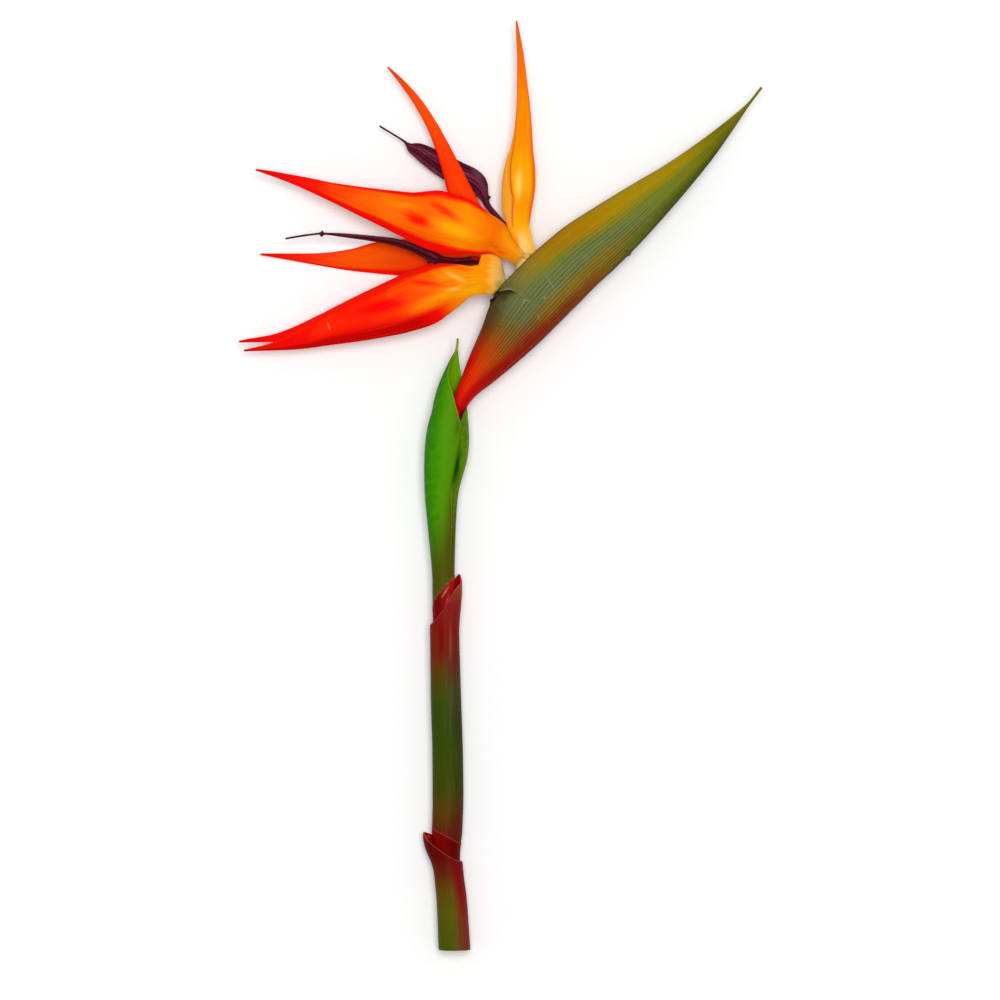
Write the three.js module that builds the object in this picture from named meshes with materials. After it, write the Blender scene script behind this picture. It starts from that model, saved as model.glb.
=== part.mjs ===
// A cut bird of paradise flower (Strelitzia reginae) lying on its side on a table.
// Millimetres, +Z up, table at z = 0. +Y runs along the stem from the cut end to the bloom,
// and the open side of the bloom faces +Z. The origin is under the middle of the whole flower.
import * as THREE from 'three';

// Driving dimensions.
const MID_HEIGHT = 10; // height of the bloom's middle plane above the table
const SHEATH_SIDES = 20; // facets round a stem sheath
const PETAL_ROWS = 18;
const PETAL_STEPS = 6; // facets across a petal
const PETAL_EDGE = 0.7; // thickness of a petal at its margin
const SPATHE_BASE = new THREE.Vector2(-15.8, 26.8);
const SPATHE_TURN = THREE.MathUtils.degToRad(47.8); // from +X to the spathe's length
const SPATHE_WALL = 1.0;
const SPATHE_EDGE = 0.7;
const SPATHE_ROWS = 23;
const RIBS_PER_SIDE = 9;
const RIB_HEIGHT = 0.16;
const BRACT_WALL = 0.8; // wall of the green upper sheath
const BRACT_ROWS = 22;
const BRACT_COLUMNS = 14;
const LEAST_HOLLOW = 0.2; // half width left inside the spathe where it closes

const COLOURS = {
  scape: 0x8f9c52,
  lowerSheath: 0x6d1410,
  middleSheath: 0x4f3512,
  upperSheath: 0x3f8a0d,
  spathe: 0x6e7f3c,
  neck: 0xf6d9a0,
  sepal: 0xff6a08,
  arrow: 0x3a1030,
};

// The stem's centre line from the cut end up: [x, y, z].
const STEM_LINE = [
  [-18.2, -186, 5.85],
  [-19.3, -167, 5.85],
  [-20.3, -158, 5.85],
  [-21.2, -149, 5.85],
  [-21.2, -140, 5.9],
  [-20.8, -126, 5.95],
  [-21.0, -106, 6.3],
  [-21.6, -86, 6.8],
  [-22.0, -66, 7.3],
  [-22.5, -46, 7.9],
  [-22.9, -30, 8.4],
  [-23.2, -14, 8.9],
  [-23.0, -2, 9.3],
  [-21.8, 14, 9.8],
  [-20.0, 23.8, 10],
  [-17.8, 30.0, 10],
  [-14.9, 35.8, 10],
];
// Radius of the scape inside its sheaths: [y, radius].
const SCAPE_RADIUS = [
  [-186, 4.7],
  [-166, 4.6],
  [-160, 3.9],
  [-70, 3.4],
  [-46, 3.1],
  [14, 2.9],
  [22, 2.2],
  [35.8, 1.8],
];

/** A point of the model. */
function at(x, y, z) {
  return new THREE.Vector3(x, y, z);
}

/** Straight-line reading of a law given as [position, value] pairs in rising order. */
function law(pairs, position) {
  const next = pairs.findIndex((pair) => pair[0] >= position);
  if (next === 0) {
    return pairs[0][1];
  }
  if (next === -1) {
    return pairs[pairs.length - 1][1];
  }
  const [low, high] = [pairs[next - 1], pairs[next]];
  return THREE.MathUtils.mapLinear(position, low[0], high[0], low[1], high[1]);
}

/** Smooth curve through rows of three numbers, read by share 0 to 1 of the row index. */
function smooth(rows) {
  return new THREE.CatmullRomCurve3(rows.map((row) => at(...row)), false, 'catmullrom', 0.5);
}

const stemCurve = smooth(STEM_LINE);
const stemSamples = stemCurve.getPoints(300);

/** Centre of the stem at the height y along it. */
function stemCentre(y) {
  const next = stemSamples.findIndex((point) => point.y >= y);
  if (next <= 0) {
    return stemSamples[0].clone();
  }
  const [low, high] = [stemSamples[next - 1], stemSamples[next]];
  return low.clone().lerp(high, (y - low.y) / (high.y - low.y));
}

/** Signed volume of an indexed triangle list. */
function volumeOf(points, index) {
  let sum = 0;
  for (let i = 0; i < index.length; i += 3) {
    const [a, b, c] = [points[index[i]], points[index[i + 1]], points[index[i + 2]]];
    sum += a.dot(b.clone().cross(c)) / 6;
  }
  return sum;
}

/** Closed body from points and triangles: flattened where it rests, with its faces outward. */
function body(points, index) {
  points.forEach((point) => {
    point.z = Math.max(point.z, 0);
  });
  if (volumeOf(points, index) < 0) {
    for (let i = 0; i < index.length; i += 3) {
      [index[i], index[i + 1]] = [index[i + 1], index[i]];
    }
  }
  const geometry = new THREE.BufferGeometry().setFromPoints(points);
  geometry.setIndex(index);
  geometry.computeVertexNormals();
  return geometry;
}

/** Closed body between two like grids of points, [row][column]; wrap joins the last column to the first. */
function between(front, back, wrap = false) {
  const [rows, columns] = [front.length, front[0].length];
  const points = [...front.flat(), ...back.flat()];
  const index = [];
  const id = (side, row, column) => side * rows * columns + row * columns + (column % columns);
  const quad = (a, b, c, d) => index.push(a, b, c, a, c, d);
  const spans = wrap ? columns : columns - 1;
  for (let row = 0; row + 1 < rows; row += 1) {
    for (let column = 0; column < spans; column += 1) {
      const corner = (side, up, along) => id(side, row + up, column + along);
      index.push(corner(0, 0, 0), corner(0, 0, 1), corner(0, 1, 1));
      index.push(corner(0, 0, 0), corner(0, 1, 1), corner(0, 1, 0));
      index.push(corner(1, 0, 1), corner(1, 0, 0), corner(1, 1, 1));
      index.push(corner(1, 1, 1), corner(1, 0, 0), corner(1, 1, 0));
    }
    if (!wrap) {
      quad(id(0, row, 0), id(0, row + 1, 0), id(1, row + 1, 0), id(1, row, 0));
      const last = columns - 1;
      quad(id(0, row + 1, last), id(0, row, last), id(1, row, last), id(1, row + 1, last));
    }
  }
  for (let column = 0; column < spans; column += 1) {
    quad(id(0, 0, column + 1), id(0, 0, column), id(1, 0, column), id(1, 0, column + 1));
    const top = rows - 1;
    quad(id(0, top, column), id(0, top, column + 1), id(1, top, column + 1), id(1, top, column));
  }
  return body(points, index);
}

/** Closed body through rings of points, with a fan over each end. */
function throughRings(rings) {
  const sides = rings[0].length;
  const points = rings.flat();
  const index = [];
  for (let ring = 0; ring + 1 < rings.length; ring += 1) {
    for (let side = 0; side < sides; side += 1) {
      const [a, b] = [ring * sides + side, ring * sides + ((side + 1) % sides)];
      index.push(a, b, b + sides, a, b + sides, a + sides);
    }
  }
  const middle = (ring) => ring.reduce((sum, point) => sum.add(point), at(0, 0, 0)).divideScalar(sides);
  const [start, end] = [points.length, points.length + 1];
  points.push(middle(rings[0]), middle(rings[rings.length - 1]));
  const lastRing = (rings.length - 1) * sides;
  for (let side = 0; side < sides; side += 1) {
    const next = (side + 1) % sides;
    index.push(start, next, side);
    index.push(end, lastRing + side, lastRing + next);
  }
  return body(points, index);
}

/** The direction across a spine and the direction out of its face, rolled about the spine. */
function crossFrame(tangent, roll) {
  const face = at(0, 0, 1).addScaledVector(tangent, -tangent.z).normalize();
  const across = tangent.clone().cross(face);
  face.applyAxisAngle(tangent, roll);
  across.applyAxisAngle(tangent, roll);
  return { across, face };
}

/**
 * A petal: a curved blade round a spine. Each row from the base to the tip is
 * [x, y, z, width, cup]: the blade's middle, its width, and how far its margins lie behind
 * the middle as a share of the width.
 */
function petal({ rows, thick, rib = 0, roll = 0 }) {
  const spine = smooth(rows.map((row) => row.slice(0, 3)));
  const shape = smooth(rows.map((row) => [row[3], row[4], 0]));
  const [front, back] = [[], []];
  for (let row = 0; row <= PETAL_ROWS; row += 1) {
    const share = row / PETAL_ROWS;
    const centre = spine.getPoint(share);
    const { across, face } = crossFrame(spine.getTangent(share), roll);
    const { x: width, y: cup } = shape.getPoint(share);
    const middle = PETAL_EDGE + (thick - PETAL_EDGE) * Math.min(1, width / 10);
    const [frontRow, backRow] = [[], []];
    for (let step = 0; step <= PETAL_STEPS; step += 1) {
      const s = (2 * step) / PETAL_STEPS - 1;
      const ridge = rib * Math.min(1, width / 8) * Math.max(0, 1 - Math.abs(s) * 2);
      const surface = centre
        .clone()
        .addScaledVector(across, (s * width) / 2)
        .addScaledVector(face, ridge - cup * width * s * s);
      const half = (PETAL_EDGE + (middle - PETAL_EDGE) * (1 - s * s)) / 2;
      frontRow.push(surface.clone().addScaledVector(face, half));
      backRow.push(surface.clone().addScaledVector(face, -half));
    }
    front.push(frontRow);
    back.push(backRow);
  }
  return between(front, back);
}

/**
 * The arrow of a flower: its two joined blue petals on their claw, with the style standing out
 * of the tip. Each row from the base is [x, y, z, width, depth].
 */
function arrow({ rows, ringCount, sides = 10 }) {
  const spine = smooth(rows.map((row) => row.slice(0, 3)));
  const shape = smooth(rows.map((row) => [row[3], row[4], 0]));
  const rings = [];
  for (let step = 0; step <= ringCount; step += 1) {
    const share = step / ringCount;
    const centre = spine.getPoint(share);
    const { across, face } = crossFrame(spine.getTangent(share), 0);
    const { x: width, y: depth } = shape.getPoint(share);
    const ring = [];
    for (let side = 0; side < sides; side += 1) {
      const angle = (side / sides) * Math.PI * 2;
      const fold = side % 2 === 0 ? 1 : 0.86; // ridges along the folded petals
      ring.push(
        centre
          .clone()
          .addScaledVector(across, (Math.cos(angle) * width * fold) / 2)
          .addScaledVector(face, (Math.sin(angle) * depth * fold) / 2),
      );
    }
    rings.push(ring);
  }
  return throughRings(rings);
}

/** A round stalk along a curve; radiusAt gives its radius by share of the curve and by place. */
function stalk({ spine, radiusAt, ringCount, sides }) {
  const rings = [];
  for (let step = 0; step <= ringCount; step += 1) {
    const share = step / ringCount;
    const centre = spine.getPoint(share);
    const { across, face } = crossFrame(spine.getTangent(share), 0);
    const radius = radiusAt(share, centre);
    const ring = [];
    for (let side = 0; side < sides; side += 1) {
      const angle = ((side + 0.5) / sides) * Math.PI * 2;
      ring.push(
        centre
          .clone()
          .addScaledVector(across, Math.cos(angle) * radius)
          .addScaledVector(face, Math.sin(angle) * radius),
      );
    }
    rings.push(ring);
  }
  return throughRings(rings);
}

/** The scape: the solid stem inside the sheaths, from the cut end to the flower stalks. */
function scape() {
  return stalk({
    spine: stemCurve,
    radiusAt: (share, centre) => law(SCAPE_RADIUS, centre.y),
    ringCount: 28,
    sides: 12,
  });
}

/** A flower's own stalk with its neck, through [x, y, z, radius] rows. */
function neck(rows) {
  const radii = smooth(rows.map((row) => [row[3], 0, 0]));
  return stalk({
    spine: smooth(rows.map((row) => row.slice(0, 3))),
    radiusAt: (share) => radii.getPoint(share).x,
    ringCount: 14,
    sides: 10,
  });
}

/**
 * A sheath that closes round the stem: radii by height, and a slanting mouth.
 * lip(angle) is the height of the mouth, flare(angle, y) what stands off the round.
 */
function closedSheath({ bottom, lip, outer, inner, flare, levels }) {
  const [outside, inside] = [[], []];
  levels.forEach((level) => {
    const [outerRow, innerRow] = [[], []];
    for (let side = 0; side < SHEATH_SIDES; side += 1) {
      const angle = ((side + 0.5) / SHEATH_SIDES) * Math.PI * 2;
      const y = THREE.MathUtils.lerp(bottom, lip(angle), level);
      const centre = stemCentre(y);
      const direction = at(Math.cos(angle), 0, Math.sin(angle));
      const off = flare(angle, y);
      outerRow.push(centre.clone().addScaledVector(direction, law(outer, y) + off));
      innerRow.push(centre.clone().addScaledVector(direction, law(inner, y) + off * 0.9));
    }
    outside.push(outerRow);
    inside.push(innerRow);
  });
  return between(outside, inside, true);
}

/** The lowest sheath, with its free point on the left. */
function lowerSheath() {
  const left = (angle) => Math.max(0, -Math.cos(angle));
  return closedSheath({
    bottom: -186,
    lip: (angle) => -150.6 + 7.6 * ((1 - Math.cos(angle)) / 2) ** 1.4 + 3.4 * left(angle) ** 8,
    outer: [[-186, 6.4], [-166, 6.1], [-156, 5.95], [-150, 6.1], [-146, 6.4], [-140, 6.7]],
    inner: [[-186, 5.15], [-166, 5.05], [-161, 5.3], [-150, 5.45], [-146, 5.8], [-140, 6.1]],
    flare: (angle, y) => 2.9 * left(angle) ** 3 * THREE.MathUtils.smoothstep(y, -155, -142),
    levels: [0, 0.3, 0.55, 0.7, 0.8, 0.88, 0.95, 1],
  });
}

/** The middle sheath, whose mouth slants up to a point on the right. */
function middleSheath() {
  const right = (angle) => Math.max(0, Math.cos(angle));
  return closedSheath({
    bottom: -159,
    lip: (angle) => -55.6 + 17.6 * ((1 + Math.cos(angle)) / 2) ** 1.3 + 2.4 * right(angle) ** 8,
    outer: [[-159, 4.9], [-150, 5.0], [-146, 5.3], [-139, 6.1], [-126, 6.2], [-86, 6.1], [-66, 5.9], [-36, 5.8]],
    inner: [[-159, 4.25], [-74, 4.2], [-67, 4.95], [-52, 5.15], [-36, 5.2]],
    flare: (angle, y) => 1.1 * right(angle) ** 3 * THREE.MathUtils.smoothstep(y, -60, -38),
    levels: [0, 0.08, 0.13, 0.19, 0.36, 0.6, 0.78, 0.87, 0.94, 1],
  });
}

// The green upper sheath, from its foot to its tip:
// [y, left edge x, right edge x, half depth, angle of the near margin, angle of the far margin].
const UPPER_SHEATH = [
  [-64, -26.5, -17.5, 4.5, 50, 403],
  [-46, -27.0, -17.9, 4.5, 50, 403],
  [-34, -27.3, -18.1, 4.7, 49, 403],
  [-14, -29.2, -17.5, 5.8, 46, 400],
  [-2, -30.2, -16.4, 6.6, 51, 406],
  [10, -30.3, -13.2, 7.8, 57, 413],
  [18, -29.8, -12.4, 8.0, 55, 411],
  [23.6, -28.9, -12.6, 7.7, 52, 403],
  [26.4, -28.2, -12.8, 7.5, 56, 374],
  [29.2, -27.4, -13.0, 7.4, 63, 340],
  [32.4, -26.7, -13.4, 7.2, 70, 308],
  [36.0, -25.9, -13.4, 6.9, 81, 300],
  [40.0, -24.7, -12.4, 6.0, 103, 300],
  [45.2, -22.5, -13.9, 4.6, 129, 304],
  [50.0, -20.8, -14.2, 3.0, 145, 298],
  [54.4, -18.4, -13.6, 1.9, 150, 262],
  [58.8, -17.1, -13.5, 1.6, 150, 235],
];

/** The upper sheath: a leafy bract rolled round the stem, open on its right side near the top. */
function upperSheath() {
  const centres = smooth(UPPER_SHEATH.map(([y, left, right]) => [(left + right) / 2, y, (right - left) / 2]));
  const forms = smooth(UPPER_SHEATH.map((row) => row.slice(3)));
  const [outside, inside] = [[], []];
  for (let row = 0; row <= BRACT_ROWS; row += 1) {
    const { x: middle, y, z: halfWidth } = centres.getPoint(row / BRACT_ROWS);
    const { x: halfDepth, y: near, z: far } = forms.getPoint(row / BRACT_ROWS);
    const height = stemCentre(Math.min(y, 35)).z;
    const thickness = Math.min(BRACT_WALL, halfWidth * 0.45);
    const [outerRow, innerRow] = [[], []];
    for (let column = 0; column <= BRACT_COLUMNS; column += 1) {
      const angle = THREE.MathUtils.degToRad(near + ((far - near) * column) / BRACT_COLUMNS);
      const [cos, sin] = [Math.cos(angle), Math.sin(angle)];
      outerRow.push(at(middle + cos * halfWidth, y, height + sin * halfDepth));
      innerRow.push(at(middle + cos * (halfWidth - thickness), y, height + sin * (halfDepth - thickness)));
    }
    outside.push(outerRow);
    inside.push(innerRow);
  }
  return between(outside, inside);
}

// The spathe from its foot to its tip:
// [distance along it, height of its margins, height of its keel], then [half thickness, half opening].
const SPATHE_OUTLINE = [
  [-5, 4.4, -2.8],
  [1, 6.2, 0.2],
  [8, 9.0, 1.9],
  [20, 13.8, -0.1],
  [32, 17.9, -1.8],
  [43, 22.3, -3.0],
  [50, 23.6, -3.4],
  [58, 23.3, -3.8],
  [66, 23.0, -4.2],
  [76, 22.0, -4.6],
  [86, 20.4, -5.5],
  [100, 16.6, -6.2],
  [115, 12.2, -6.2],
  [130, 7.5, -5.8],
  [145, 3.9, -4.9],
  [158, 1.4, -3.3],
  [170, -0.2, -1.6],
  [179, 0.3, -0.8],
];
const SPATHE_BODY = [
  [3.9, 0.3],
  [4.0, 0.3],
  [4.2, 0.25],
  [6.0, 0.2],
  [8.2, 0.2],
  [9.5, 1.2],
  [10.0, 3.7],
  [10.1, 4.2],
  [10.1, 3.9],
  [9.9, 1.5],
  [9.3, 0.3],
  [8.3, 0.2],
  [6.9, 0.2],
  [5.3, 0.2],
  [3.8, 0.2],
  [2.5, 0.2],
  [1.3, 0.2],
  [0.8, 0.2],
];

/** Share of the spathe's half thickness, 1 at its widest, at the share w from the keel to the margin. */
function bellyShare(w) {
  return w ** 0.55 * (1 - w) ** 0.8 * 2.47;
}

/** One side of the spathe's section, keel to margin, as [height, half thickness] pairs. */
function spatheSide({ margin, keel, half, opening }, inset) {
  const steps = RIBS_PER_SIDE * 2;
  const edge = inset > 0 ? 0 : SPATHE_EDGE;
  const side = [];
  for (let step = 0; step <= steps; step += 1) {
    const w = (step / steps) ** 1.4;
    const height = keel + inset + (margin - keel - inset) * w;
    side.push(new THREE.Vector2(height, (half - inset) * bellyShare(w) + (opening + edge) * w ** 3));
  }
  return side;
}

/** Raises every other point of the spathe's side, as ribs that fade toward its ends. */
function ribbed(side, height) {
  return side.map((point, step) => {
    if (step === 0 || step === side.length - 1 || step % 2 === 0) {
      return point.clone();
    }
    const along = side[step + 1].clone().sub(side[step - 1]).normalize();
    return point.clone().add(new THREE.Vector2(-along.y, along.x).multiplyScalar(height));
  });
}

/** The spathe: the boat-shaped bract that holds the flowers, hollow and open along its upper edge. */
function spathe() {
  const outline = smooth(SPATHE_OUTLINE);
  const forms = smooth(SPATHE_BODY.map((row) => [...row, 0]));
  const along = new THREE.Vector2(Math.cos(SPATHE_TURN), Math.sin(SPATHE_TURN));
  const up = new THREE.Vector2(-along.y, along.x);
  const [outside, inside] = [[], []];
  for (let row = 0; row <= SPATHE_ROWS; row += 1) {
    const { x: distance, y: margin, z: keel } = outline.getPoint(row / SPATHE_ROWS);
    const { x: half, y: opening } = forms.getPoint(row / SPATHE_ROWS);
    const wall = Math.min(SPATHE_WALL, half - LEAST_HOLLOW, (margin - keel) / 2);
    const form = { margin, keel, half, opening };
    const place = (point, sign) => {
      const spot = SPATHE_BASE.clone().addScaledVector(along, distance).addScaledVector(up, point.x);
      return at(spot.x, spot.y, MID_HEIGHT + sign * point.y);
    };
    const outer = ribbed(spatheSide(form, 0), RIB_HEIGHT * Math.min(1, half / 6));
    const inner = spatheSide(form, wall);
    const round = (side) => [
      ...side.slice().reverse().map((point) => place(point, 1)),
      ...side.slice(1).map((point) => place(point, -1)),
    ];
    outside.push(round(outer));
    inside.push(round(inner));
  }
  return between(outside, inside);
}

// Petals of the upper flower: [x, y, z, width, cup].
const UPRIGHT_SEPAL = [
  [8.9, 92.8, 10.2, 7.6, 0.04],
  [7.8, 99.6, 10.6, 9.4, 0.06],
  [6.8, 104.8, 11.2, 10.4, 0.12],
  [6.8, 112.0, 11.8, 12.4, 0.18],
  [7.4, 119.6, 12.2, 13.4, 0.2],
  [8.0, 127.6, 12.2, 12.2, 0.2],
  [8.7, 134.8, 12.0, 9.2, 0.18],
  [9.3, 142.8, 11.6, 7.0, 0.16],
  [9.3, 152.4, 11.0, 5.4, 0.12],
  [8.8, 162.0, 10.4, 4.0, 0.1],
  [8.2, 171.6, 9.8, 2.8, 0.08],
  [7.4, 179.0, 9.2, 1.9, 0.05],
  [6.6, 186.0, 8.6, 0.7, 0],
];
const FRONT_SEPAL = [
  [6.8, 93.4, 13.4, 8.8, 0.03],
  [-0.2, 98.0, 16.0, 14.4, 0.08],
  [-7.8, 100.9, 18.4, 18.4, 0.14],
  [-16.6, 103.6, 20.0, 23.2, 0.18],
  [-26.6, 105.8, 20.6, 23.6, 0.2],
  [-38.2, 108.6, 19.6, 18.4, 0.2],
  [-51.8, 112.6, 17.4, 12.6, 0.18],
  [-65.8, 117.0, 14.8, 7.6, 0.14],
  [-79.8, 121.4, 12.2, 3.8, 0.1],
  [-97.8, 126.4, 9.6, 0.7, 0],
];
const REAR_SEPAL = [
  [7.4, 92.8, 5.6, 6.0, 0.04],
  [-1.0, 98.4, 5.6, 8.8, 0.06],
  [-8.2, 105.4, 7.4, 10.4, 0.1],
  [-14.6, 116.0, 9.4, 11.2, 0.15],
  [-19.0, 126.0, 9.6, 8.2, 0.15],
  [-23.0, 135.2, 9.2, 5.8, 0.14],
  [-27.4, 144.4, 8.8, 4.4, 0.12],
  [-33.0, 153.6, 8.4, 3.4, 0.1],
  [-39.0, 161.2, 8.0, 2.2, 0.06],
  [-45.0, 167.6, 7.6, 0.7, 0],
];
// Petals of the lower flower.
const LOW_FRONT_SEPAL = [
  [-1.8, 82.6, 14.3, 10.6, 0.03],
  [-6.6, 82.4, 15.4, 12.4, 0.06],
  [-13.0, 82.0, 16.4, 13.6, 0.12],
  [-20.6, 79.6, 17.2, 19.0, 0.18],
  [-29.4, 76.2, 17.6, 22.8, 0.2],
  [-42.2, 71.6, 16.6, 20.8, 0.2],
  [-56.6, 66.8, 14.6, 17.2, 0.18],
  [-68.6, 62.8, 12.6, 13.2, 0.16],
  [-80.2, 58.4, 10.8, 8.0, 0.12],
  [-91.0, 55.6, 9.2, 3.2, 0.08],
  [-102.6, 54.0, 7.6, 0.7, 0],
];
const LOW_MIDDLE_SEPAL = [
  [-5.4, 81.2, 10.0, 3.2, 0.02],
  [-13.0, 81.4, 11.6, 9.0, 0.08],
  [-20.6, 79.2, 13.2, 14.6, 0.16],
  [-29.4, 76.2, 14.0, 18.4, 0.2],
  [-42.2, 72.0, 13.4, 17.0, 0.2],
  [-56.6, 67.4, 11.8, 13.6, 0.18],
  [-68.8, 63.8, 10.0, 10.4, 0.14],
  [-79.8, 60.6, 8.6, 6.4, 0.1],
  [-90.0, 58.8, 7.8, 2.8, 0.06],
  [-104.6, 57.6, 7.0, 0.7, 0],
];
const LOW_REAR_SEPAL = [
  [-1.8, 83.4, 5.7, 8.0, 0.03],
  [-11.8, 88.6, 4.6, 12.0, 0.08],
  [-23.8, 90.8, 4.0, 14.4, 0.1],
  [-35.8, 91.6, 3.3, 14.8, 0.12],
  [-47.8, 91.2, 2.5, 13.2, 0.12],
  [-59.8, 90.2, 1.4, 8.8, 0.12],
  [-71.8, 90.4, 1.0, 5.2, 0.1],
  [-83.8, 91.4, 1.3, 2.8, 0.06],
  [-96.2, 92.4, 2.2, 0.7, 0],
];
// Arrows: [x, y, z, width, depth].
const UPPER_ARROW = [
  [8.0, 92.9, 7.8, 1.6, 1.5],
  [6.0, 97.8, 7.8, 1.6, 1.5],
  [2.4, 103.6, 7.6, 1.8, 1.7],
  [-1.3, 107.7, 6.6, 2.4, 2.0],
  [-4.8, 112.2, 5.4, 2.7, 2.2],
  [-6.0, 116.0, 4.8, 4.6, 2.8],
  [-8.2, 119.6, 4.4, 9.2, 4.0],
  [-11.8, 122.2, 4.3, 10.4, 4.6],
  [-17.0, 124.9, 4.2, 10.2, 4.6],
  [-22.9, 128.1, 4.2, 9.8, 4.4],
  [-27.7, 131.0, 4.3, 8.6, 4.0],
  [-32.2, 133.8, 4.4, 6.9, 3.4],
  [-35.4, 135.3, 4.4, 4.6, 2.8],
  [-37.2, 136.4, 4.5, 1.9, 1.6],
  [-39.8, 138.3, 4.6, 0.9, 0.9],
  [-48.6, 143.6, 5.0, 0.8, 0.8],
];
const LOWER_ARROW = [
  [-3.2, 83.7, 10, 1.6, 1.6],
  [-8.4, 88.0, 10, 2.2, 2.2],
  [-15.8, 89.6, 10, 3.0, 3.0],
  [-21.8, 90.2, 10, 2.6, 3.0],
  [-27.0, 91.4, 10, 4.4, 8.0],
  [-33.4, 94.4, 10, 3.8, 9.0],
  [-41.8, 97.2, 10, 3.2, 7.6],
  [-51.4, 98.8, 10, 2.4, 5.4],
  [-61.8, 99.8, 9.8, 1.8, 3.0],
  [-68.4, 100.3, 9.6, 1.0, 1.2],
  [-71.4, 100.4, 9.4, 2.4, 2.0],
  [-74.2, 100.3, 9.2, 1.0, 1.0],
  [-78.6, 99.6, 9.0, 0.9, 0.9],
  [-85.8, 98.4, 8.6, 0.8, 0.8],
];
// Flower stalks inside the spathe, with the pale necks that the petals sit on: [x, y, z, radius].
const UPPER_NECK = [
  [-13.5, 37.8, 8.6, 1.05],
  [-7.9, 45.2, 8.3, 1.5],
  [6.5, 65.2, 9.0, 2.5],
  [10.5, 78.0, 9.8, 3.0],
  [9.2, 88.0, 10, 3.3],
  [8.6, 92.3, 10, 3.6],
];
const LOWER_NECK = [
  [-13.6, 37.7, 11.4, 1.05],
  [-8.7, 45.8, 11.7, 1.5],
  [-3.0, 62.0, 11.0, 2.3],
  [1.4, 74.0, 10.2, 2.8],
  [0.6, 79.6, 10, 2.9],
  [-2.8, 83.2, 10, 3.3],
];

/** A mesh with its name, form, colour and finish. */
function piece(name, geometry, colour, roughness) {
  const material = new THREE.MeshStandardMaterial({ color: colour, roughness, metalness: 0 });
  const mesh = new THREE.Mesh(geometry, material);
  mesh.name = name;
  return mesh;
}

/** The stem with its three sheaths. */
function stem() {
  const group = new THREE.Group();
  group.add(
    piece('scape', scape(), COLOURS.scape, 0.6),
    piece('sheath_lower', lowerSheath(), COLOURS.lowerSheath, 0.45),
    piece('sheath_middle', middleSheath(), COLOURS.middleSheath, 0.45),
    piece('sheath_upper', upperSheath(), COLOURS.upperSheath, 0.45),
  );
  return group;
}

/** The flower that stands highest in the spathe's mouth. */
function upperFlower() {
  const group = new THREE.Group();
  group.add(
    piece('upper_neck', neck(UPPER_NECK), COLOURS.neck, 0.5),
    piece('upper_sepal_upright', petal({ rows: UPRIGHT_SEPAL, thick: 1.3, rib: 0.3 }), COLOURS.sepal, 0.4),
    piece('upper_sepal_front', petal({ rows: FRONT_SEPAL, thick: 1.6, rib: 0.3 }), COLOURS.sepal, 0.4),
    piece('upper_sepal_rear', petal({ rows: REAR_SEPAL, thick: 1.4, rib: 0.2 }), COLOURS.sepal, 0.4),
    piece('upper_arrow', arrow({ rows: UPPER_ARROW, ringCount: 28 }), COLOURS.arrow, 0.5),
  );
  return group;
}

/** The flower below it. */
function lowerFlower() {
  const group = new THREE.Group();
  group.add(
    piece('lower_neck', neck(LOWER_NECK), COLOURS.neck, 0.5),
    piece('lower_sepal_front', petal({ rows: LOW_FRONT_SEPAL, thick: 1.6, rib: 0.3 }), COLOURS.sepal, 0.4),
    piece('lower_sepal_middle', petal({ rows: LOW_MIDDLE_SEPAL, thick: 1.3, rib: 0.2 }), COLOURS.sepal, 0.4),
    piece('lower_sepal_rear', petal({ rows: LOW_REAR_SEPAL, thick: 1.2, rib: 0.2 }), COLOURS.sepal, 0.4),
    piece('lower_arrow', arrow({ rows: LOWER_ARROW, ringCount: 28 }), COLOURS.arrow, 0.5),
  );
  return group;
}

const flower = new THREE.Group();
flower.add(stem(), piece('spathe', spathe(), COLOURS.spathe, 0.45), upperFlower(), lowerFlower());
export default flower;
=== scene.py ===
"""A cut bird of paradise flower lying on its side on a table.

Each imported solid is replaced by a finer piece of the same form, with its folds, ribs and rims and
the finish of the living plant. Lengths are in millimetres until a mesh is made, and colours are
display colours from 0 to 255 until a shader takes them.
"""

import logging
import math
from dataclasses import dataclass, fields
from enum import Enum
from typing import Callable, Sequence

import bpy
import numpy as np
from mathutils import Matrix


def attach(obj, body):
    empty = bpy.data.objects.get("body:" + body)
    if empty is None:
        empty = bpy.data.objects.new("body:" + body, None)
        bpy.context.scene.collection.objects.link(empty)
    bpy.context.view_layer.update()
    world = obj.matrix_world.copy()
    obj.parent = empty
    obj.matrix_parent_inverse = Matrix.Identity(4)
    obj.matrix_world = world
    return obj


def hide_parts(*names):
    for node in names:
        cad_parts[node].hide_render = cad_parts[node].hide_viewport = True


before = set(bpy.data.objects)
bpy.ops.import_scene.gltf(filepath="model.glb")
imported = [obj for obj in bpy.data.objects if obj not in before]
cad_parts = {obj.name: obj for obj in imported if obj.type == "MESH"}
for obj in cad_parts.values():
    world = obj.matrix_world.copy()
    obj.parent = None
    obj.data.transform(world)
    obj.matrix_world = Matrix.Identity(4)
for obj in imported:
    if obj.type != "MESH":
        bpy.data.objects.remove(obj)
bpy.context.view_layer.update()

LOG = logging.getLogger("flower")
MM = 0.001
SHARP_FROM = math.radians(55)
FULL_TURN = 2 * math.pi
RIB_SPACING = 0.714
RING_RISE, RING_DROP = 12.5, 49.0

Array = np.ndarray
Rows = Sequence[Sequence[float]]
Colour = tuple[int, int, int]
Place = tuple[float, float]


def paint(colour: Colour) -> tuple[float, ...]:
    """Turns a display colour into one that a shader takes.

    Args:
        colour: The display colour.

    Returns:
        The linear colour and its alpha.
    """
    display = np.array(colour) / 255
    linear = np.where(display <= 0.04045, display / 12.92, ((display + 0.055) / 1.055) ** 2.4)
    return (*map(float, linear), 1.0)


# Curves and grids of points


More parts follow.
